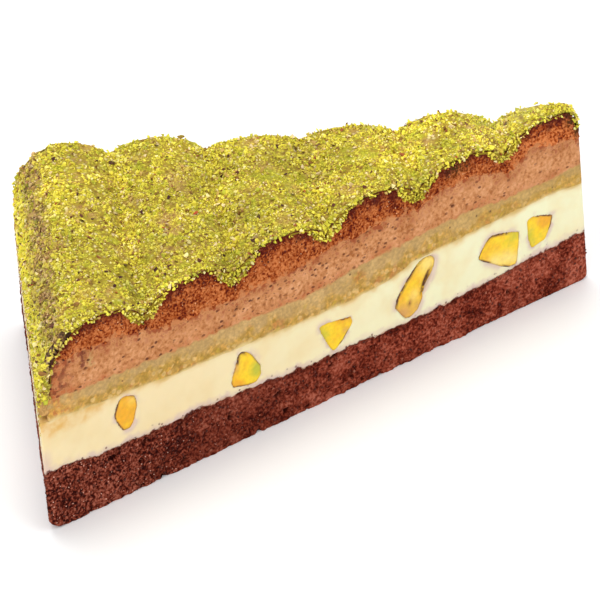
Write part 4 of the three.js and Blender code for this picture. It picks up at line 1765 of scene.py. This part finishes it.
@dataclass(frozen=True)
class CrumbShapes:
    """A handful of differently broken crumbs, each about one unit across."""

    name: str
    corners: int
    flatness: float
    variants: int = 6
    seed: int = 5

    def build(self) -> bpy.types.Collection:
        """Break the crumbs.

        Returns:
            A collection outside the scene that holds one object for each shape.
        """
        draw = np.random.default_rng(self.seed)
        shapes = bpy.data.collections.new(self.name)
        for k in range(self.variants):
            points = draw.normal(size=(self.corners, 3))
            points /= np.linalg.norm(points, axis=1, keepdims=True)
            points *= draw.uniform(0.34, 0.52, (self.corners, 1))
            points *= np.array([draw.uniform(0.85, 1.25), draw.uniform(0.7, 1.0), self.flatness])
            solid = bmesh.new()
            for point in points:
                solid.verts.new(point)
            hull = bmesh.ops.convex_hull(solid, input=solid.verts)
            spare = list(set(hull["geom_interior"] + hull["geom_unused"]))
            bmesh.ops.delete(solid, geom=spare, context="VERTS")
            bmesh.ops.recalc_face_normals(solid, faces=solid.faces)
            mesh = bpy.data.meshes.new(f"{self.name}_{k}")
            solid.to_mesh(mesh)
            solid.free()
            shapes.objects.link(bpy.data.objects.new(f"{self.name}_{k}", mesh))
        return shapes


class ScatterTree(NodeWriter):
    """Geometry Nodes that strew crumbs over a surface by one of its attributes."""

    def __init__(self) -> None:
        """Build the tree with its named inputs."""
        self.tree = bpy.data.node_groups.new("strew_crumbs", "GeometryNodeTree")
        self.sockets: dict[str, str] = {}
        for name, kind in (
            ("Surface", "Geometry"),
            ("Crumb shapes", "Collection"),
            ("Finish", "Material"),
            ("Cover attribute", "String"),
            ("Closest spacing", "Float"),
            ("Most per area", "Float"),
            ("Smallest", "Float"),
            ("Largest", "Float"),
            ("Deepest", "Float"),
            ("Highest", "Float"),
            ("Tumble", "Vector"),
            ("Seed", "Int"),
        ):
            item = self.tree.interface.new_socket(name, in_out="INPUT", socket_type=f"NodeSocket{kind}")
            self.sockets[name] = item.identifier
        self.tree.interface.new_socket("Crumbs", in_out="OUTPUT", socket_type="NodeSocketGeometry")
        self.given = self.tree.nodes.new("NodeGroupInput").outputs
        self.wire()

    def random(self, low: Socket | float, high: Socket | float, salt: int) -> Socket:
        """A number for each point, drawn with the tree's seed and a salt of its own."""
        seed = self.node("ShaderNodeMath", {0: self.given["Seed"], 1: float(salt)}, operation="ADD")
        inputs = {2: low, 3: high, 8: seed.outputs[0]}
        return self.node("FunctionNodeRandomValue", inputs, data_type="FLOAT").outputs[1]

    def wire(self) -> None:
        """Join the nodes from the surface to the loose crumbs."""
        given = self.given
        cover = self.node("GeometryNodeInputNamedAttribute", {0: given["Cover attribute"]}, data_type="FLOAT")
        points = self.node(
            "GeometryNodeDistributePointsOnFaces",
            {
                "Mesh": given["Surface"],
                "Distance Min": given["Closest spacing"],
                "Density Max": given["Most per area"],
                "Density Factor": cover.outputs[0],
                "Seed": given["Seed"],
            },
            distribute_method="POISSON",
        )
        lift = self.random(given["Deepest"], given["Highest"], 1)
        rise = self.scaled(points.outputs["Normal"], lift)
        moved = self.node("GeometryNodeSetPosition", {"Geometry": points.outputs["Points"], "Offset": rise})
        turn = self.node(
            "FunctionNodeRandomValue",
            {0: self.scaled(given["Tumble"], -1.0), 1: given["Tumble"], 8: given["Seed"]},
            data_type="FLOAT_VECTOR",
        )
        tumbled = self.node("FunctionNodeEulerToRotation", {0: turn.outputs[0]})
        rotation = self.node(
            "FunctionNodeRotateRotation",
            {0: points.outputs["Rotation"], 1: tumbled.outputs[0]},
            rotation_space="LOCAL",
        )
        apart = {0: given["Crumb shapes"], "Separate Children": True, "Reset Children": True}
        shapes = self.node("GeometryNodeCollectionInfo", apart)
        size = self.random(given["Smallest"], given["Largest"], 2)
        crumbs = self.node(
            "GeometryNodeInstanceOnPoints",
            {
                "Points": moved.outputs[0],
                "Instance": shapes.outputs[0],
                "Pick Instance": True,
                "Rotation": rotation.outputs[0],
                "Scale": size,
            },
        )
        tinted = self.node(
            "GeometryNodeStoreNamedAttribute",
            {"Geometry": crumbs.outputs[0], "Name": "tint"},
            data_type="FLOAT",
            domain="INSTANCE",
        )
        value = next(s for s in tinted.inputs if s.name == "Value" and s.enabled)
        self.tree.links.new(self.random(0.0, 1.0, 3), value)
        real = self.node("GeometryNodeRealizeInstances", {"Geometry": tinted.outputs[0]})
        dressed = self.node(
            "GeometryNodeSetMaterial", {"Geometry": real.outputs[0], "Material": given["Finish"]}
        )
        self.node("NodeGroupOutput", {0: dressed.outputs[0]})


@dataclass(frozen=True)
class CrumbKind:
    """One kind of loose crumb and how it is strewn. Sizes are across, in millimetres."""

    name: str
    surface: str  # the piece that carries them
    cover: str  # its attribute with the share of crumbs that each place gets
    shapes: CrumbShapes
    spacing: float
    smallest: float
    largest: float
    seed: int
    most_per_mm2: float
    deepest: float
    highest: float
    tumble: tuple[float, float, float] = (math.pi, math.pi, math.pi)
    slot: str = "nut_crumb"

    def strew(
        self, scatter: ScatterTree, surface: bpy.types.Object, finish: bpy.types.Material
    ) -> bpy.types.Object:
        """Strew the crumbs.

        Args:
            scatter: the node tree.
            surface: the piece that carries them.
            finish: the crumbs' material.

        Returns:
            One piece with all crumbs of this kind.
        """
        shapes = self.shapes.build()
        carrier = bpy.data.objects.new("crumb_carrier", surface.data.copy())
        bpy.context.scene.collection.objects.link(carrier)
        modifier = carrier.modifiers.new("strew", "NODES")
        modifier.node_group = scatter.tree
        values = {
            "Crumb shapes": shapes,
            "Finish": finish,
            "Cover attribute": self.cover,
            "Closest spacing": self.spacing * MM,
            "Most per area": self.most_per_mm2 / MM**2,
            "Smallest": self.smallest * MM,
            "Largest": self.largest * MM,
            "Deepest": self.deepest * MM,
            "Highest": self.highest * MM,
            "Tumble": self.tumble,
            "Seed": self.seed,
        }
        for name, value in values.items():
            modifier[scatter.sockets[name]] = value
        mesh = baked(carrier, self.name)
        for shape in list(shapes.objects):
            bpy.data.objects.remove(shape)
        bpy.data.collections.remove(shapes)
        move_points(mesh, mesh_points(mesh))
        return finished(self.name, mesh, finish)


ROUND_CRUMBS = CrumbShapes("round_crumb", corners=9, flatness=0.8)
CHIPS = CrumbShapes("chip", corners=11, flatness=0.55, seed=6)
FLAKES = CrumbShapes("flake", corners=9, flatness=0.22, seed=7)
SMALL_GRAINS = CrumbShapes("small_grain", corners=8, flatness=0.85, seed=8)
# name, surface, cover, shapes, spacing, smallest, largest, seed, most per mm2, deepest, highest
NUT_CRUMBS = (
    CrumbKind("nut_fine", "coat", "cover", SMALL_GRAINS, 0.5, 0.6, 1.0, 101, 14.0, -0.15, 0.12),
    CrumbKind("nut_medium", "coat", "cover", ROUND_CRUMBS, 1.0, 1.0, 1.5, 102, 4.0, -0.1, 0.3),
    CrumbKind("nut_chips", "coat", "patchy", CHIPS, 2.0, 1.5, 2.3, 103, 1.0, -0.1, 0.3),
    CrumbKind("nut_skirt", "coat", "skirt", CHIPS, 1.2, 1.4, 2.4, 104, 4.0, 0.0, 0.4),
    CrumbKind("nut_band", "coat", "band", ROUND_CRUMBS, 0.7, 0.8, 1.4, 108, 7.0, -0.1, 0.35),
    CrumbKind("nut_spill", "cocoa", "spill", ROUND_CRUMBS, 0.5, 0.7, 1.2, 105, 14.0, 0.0, 0.3),
    CrumbKind("nut_fallen", "cream", "fallen", CHIPS, 1.0, 0.8, 1.8, 109, 1.2, 0.1, 0.4),
)
SKIN_FLAKES = CrumbKind(
    "skin_flakes", "coat", "cover", FLAKES, 1.9, 0.8, 1.6, 106, 0.35, 0.0, 0.35, tumble=(0.6, 0.6, math.pi)
)
RIM_STRAYS = CrumbKind("rim_strays", "cream", "stray", CHIPS, 0.8, 0.5, 1.2, 110, 1.1, 0.0, 0.25)
COCOA_GRAINS = CrumbKind(
    "cocoa_grains", "cocoa", "grainy", SMALL_GRAINS, 0.55, 0.35, 0.8, 107, 3.0, -0.1, 0.15, slot="cocoa"
)
SPONGE_CRUMBS = CrumbKind(
    "sponge_crumbs", "sponge", "loose", SMALL_GRAINS, 0.95, 0.5, 1.15, 111, 1.2, -0.15, 0.1, slot="sponge"
)
CRUMBS = (
    (CRUMB_FINISH, NUT_CRUMBS),
    (FLAKE_FINISH, (SKIN_FLAKES,)),
    (STRAY_FINISH, (RIM_STRAYS,)),
    (COCOA_GRAIN_FINISH, (COCOA_GRAINS,)),
    (SPONGE_CRUMB_FINISH, (SPONGE_CRUMBS,)),
)


@dataclass(frozen=True)
class Studio:
    """Pale floor, soft light and the camera."""

    azimuth: float = -4.9906
    elevation: float = 34.0
    roll: float = -2.984
    distance: float = 1046.23
    aim: tuple[float, float, float] = (-2.4129, 22.0525, 9.2252)
    lens: float = 300.0
    floor_colours: Stops = ((0.0, (249, 249, 249)), (1.0, (251, 251, 251)))
    floor_reach: float = 6.0
    sky: float = 0.55
    # place in metres, width in metres, power in watts
    lamps: tuple[tuple[tuple[float, float, float], float, float], ...] = (
        ((-0.55, -0.75, 0.95), 0.7, 6.2),
        ((0.7, -0.5, 0.8), 0.8, 3.2),
        ((-0.1, 0.4, 1.3), 0.8, 8.5),
    )

    def build(self) -> None:
        """Set the scene."""
        scene = bpy.context.scene
        scene.view_settings.view_transform = "Standard"
        world = bpy.data.worlds.new("soft_sky")
        world.use_nodes = True
        world.node_tree.nodes["Background"].inputs["Strength"].default_value = self.sky
        world.node_tree.nodes["Background"].inputs["Color"].default_value = (1, 1, 1, 1)
        scene.world = world
        for place, width, power in self.lamps:
            self.lamp(Vector(place), width, power)
        self.floor()
        self.camera()

    def lamp(self, place: Vector, width: float, power: float) -> None:
        """Hang a square soft lamp that looks at the cake."""
        light = bpy.data.lights.new("soft_lamp", "AREA")
        light.size = width
        light.energy = power
        lamp = bpy.data.objects.new("soft_lamp", light)
        lamp.location = place
        lamp.rotation_euler = (-place).to_track_quat("-Z", "Y").to_euler()
        bpy.context.scene.collection.objects.link(lamp)

    def floor(self) -> None:
        """Lay the floor just under the base."""
        reach = self.floor_reach
        mesh = bpy.data.meshes.new("floor")
        corners = [(-reach, -reach), (reach, -reach), (reach, reach), (-reach, reach)]
        mesh.from_pydata([(x, y, -0.1 * MM) for x, y in corners], [], [[0, 1, 2, 3]])
        mix = Recipe("pale_floor", 0.6, 0.2)
        mesh.materials.append(mix.done(mix.ramp(mix.noise(400), self.floor_colours)))
        floor = bpy.data.objects.new("floor", mesh)
        bpy.context.scene.collection.objects.link(floor)

    def camera(self) -> None:
        """Place the camera."""
        turn, lift, roll = (math.radians(a) for a in (self.azimuth, self.elevation, self.roll))
        back = Vector((math.sin(turn) * math.cos(lift), -math.cos(turn) * math.cos(lift), math.sin(lift)))
        level = Vector((math.cos(turn), math.sin(turn), 0))
        up = back.cross(level)
        right = level * math.cos(roll) + up * math.sin(roll)
        head = up * math.cos(roll) - level * math.sin(roll)
        lens = bpy.data.cameras.new("camera")
        lens.lens = self.lens
        camera = bpy.data.objects.new("camera", lens)
        turned = Matrix((right, head, back)).transposed().to_4x4()
        camera.matrix_world = Matrix.Translation((Vector(self.aim) + self.distance * back) * MM) @ turned
        bpy.context.scene.collection.objects.link(camera)
        bpy.context.scene.camera = camera


LONG_LOOKS = (
    KernelLook(
        0.12,
        0.85,
        skins=(SkinArc(100, 260, 0.5),),
        dabs=(Dab(Mark.PALE, 1.6, 2.4, 1.2, 0.3),),
        pulls=(Pull(55, 0.35), Pull(-105, 0.4), Pull(-65, 0.3), Pull(180, 0.2)),
    ),
    KernelLook(
        0.4,
        0.75,
        skins=(SkinArc(88, 132, 1.1), SkinArc(215, 290, 0.55)),
        dabs=(
            Dab(Mark.RIPE, 2.8, -1.0, 2.0, 0.6),
            Dab(Mark.RIPE, -2.6, -3.2, 2.2, -0.4),
            Dab(Mark.TAN, -2.7, 1.4, 1.0, 0.9),
            Dab(Mark.TAN, -2.2, 2.8, 0.8, 0.6),
        ),
        pulls=(Pull(-14, 0.7), Pull(-62, 0.3), Pull(-135, 0.5), Pull(100, 0.3)),
    ),
    KernelLook(
        0.42,
        0.4,
        skins=(SkinArc(-75, -15, 0.7), SkinArc(30, 60, 0.6)),
        dabs=(
            Dab(Mark.RIPE, -3.2, 0.6, 2.0, 0.4),
            Dab(Mark.RIPE, 3.0, 2.8, 2.2, -0.5),
            Dab(Mark.TAN, 4.1, 3.1, 0.9, 0.9),
            Dab(Mark.TAN, 2.6, -0.6, 0.7, 0.7),
        ),
        pulls=(Pull(36, 0.7), Pull(-104, 0.5), Pull(142, 0.5)),
    ),
    KernelLook(
        0.3,
        0.8,
        skins=(SkinArc(75, 205, 1.05),),
        dabs=(
            Dab(Mark.PALE, 3.4, 4.6, 2.2, 0.8),
            Dab(Mark.PALE, -0.4, -1.6, 1.3, 0.6),
            Dab(Mark.TAN, -3.2, -5.0, 2.3, 1.0),
            Dab(Mark.SKIN, -1.6, -3.0, 0.6, 0.9),
            Dab(Mark.CREVICE, 3.9, 2.4, 0.6, 0.7),
            Dab(Mark.CREVICE, 3.5, 1.3, 0.75, 0.8),
            Dab(Mark.CREVICE, 3.0, 0.2, 0.85, 0.9),
            Dab(Mark.CREVICE, 2.4, -1.0, 0.8, 0.9),
            Dab(Mark.CREVICE, 1.8, -2.2, 0.6, 0.7),
            Dab(Mark.TAN, 0.6, -4.6, 1.4, 0.7),
        ),
        pulls=(Pull(42, 1.1, 0.3), Pull(-112, 0.6), Pull(-82, 0.6), Pull(-153, 0.4)),
    ),
    KernelLook(
        0.35,
        0.55,
        skins=(SkinArc(60, 150, 0.7), SkinArc(150, 215, 0.6), SkinArc(-85, -50, 0.6)),
        dabs=(
            Dab(Mark.RIPE, 3.6, 2.0, 2.4, 0.38),
            Dab(Mark.PALE, -1.8, -2.4, 1.9, 0.9),
            Dab(Mark.PALE, 1.6, -2.8, 1.9, 0.8),
            Dab(Mark.PALE, 3.8, -3.6, 1.2, 0.6),
        ),
        pulls=(Pull(26, 1.0), Pull(-48, 1.7, 0.28), Pull(176, 0.4), Pull(108, 0.3)),
    ),
    KernelLook(
        0.4,
        0.4,
        skins=(SkinArc(-25, 100, 0.6),),
        dabs=(Dab(Mark.RIPE, -2.4, -1.0, 2.4, 0.34), Dab(Mark.RIPE, 2.4, 1.8, 2.2, -0.5)),
        pulls=(Pull(30, 0.6), Pull(134, 0.3), Pull(-122, 0.4), Pull(-70, 0.3)),
    ),
)
SHORT_LOOKS = (
    KernelLook(0.3, 0.6, (SkinArc(40, 160, 0.8),), (Dab(Mark.PALE, -1.5, -2.0, 2.0, 0.7),)),
    KernelLook(0.2, 0.8, (SkinArc(200, 300, 0.6),), (Dab(Mark.RIPE, 2.0, 0.0, 2.0, 0.5),)),
    KernelLook(
        0.4,
        0.7,
        skins=(SkinArc(95, 220, 0.9),),
        dabs=(Dab(Mark.TAN, -4.5, -0.5, 1.8), Dab(Mark.PALE, 2.0, 0.8, 2.0, 0.6)),
    ),
    KernelLook(0.15, 0.5, (SkinArc(-40, 60, 0.6),), (Dab(Mark.RIPE, -1.5, 1.5, 1.6, 0.5),)),
    KernelLook(0.5, 0.7, (SkinArc(100, 220, 0.7),), (Dab(Mark.RIPE, 1.5, -1.8, 1.8, -0.4),)),
)


@dataclass
class CakeWedge:
    """The whole wedge."""

    plan: WedgePlan = field(default_factory=WedgePlan.from_frame)

    def kernels(self) -> dict[str, Kernel]:
        """The kernel pieces of both cut sides, by name."""
        found = {}
        for side, looks in ((Side.LONG, LONG_LOOKS), (Side.SHORT, SHORT_LOOKS)):
            for k, look in enumerate(looks, start=1):
                name = f"kernel_{side.name.lower()}_side_{k}"
                found[name] = Kernel(name, self.plan.side(side), look)
        return found

    def build(self) -> None:
        """Make every piece."""
        stack = LayerStack(self.plan)
        kernels = self.kernels()
        inner_x = node_points("pistachio_paste")[:, 0].min() - GAP - 0.1
        sponge = Sponge(stack).build()
        cream = Cream(stack, list(kernels.values())).build()
        Paste(stack, inner_x - PASTE_LAP).build()
        Mousse(stack, inner_x).build()
        cocoa = Cocoa(stack, inner_x).build()
        finish = KernelFinish().material()
        for name, kernel in kernels.items():
            kernel.build(f"{name}_cut", finish)
        coat = NutCoat().build()
        self.crumbs({"coat": coat, "cocoa": cocoa, "cream": cream, "sponge": sponge})

    def crumbs(self, surfaces: dict[str, bpy.types.Object]) -> None:
        """Strew the loose crumbs.

        Args:
            surfaces: the pieces that carry them.
        """
        scatter = ScatterTree()
        for finish, kinds in CRUMBS:
            material = finish.material()
            for kind in kinds:
                kind.strew(scatter, surfaces[kind.surface], material)


def main() -> None:
    """Build the scene and the cake."""
    logging.basicConfig(level=logging.INFO, format="%(name)s %(message)s")
    Studio().build()
    CakeWedge().build()


if __name__ == "__main__":
    main()
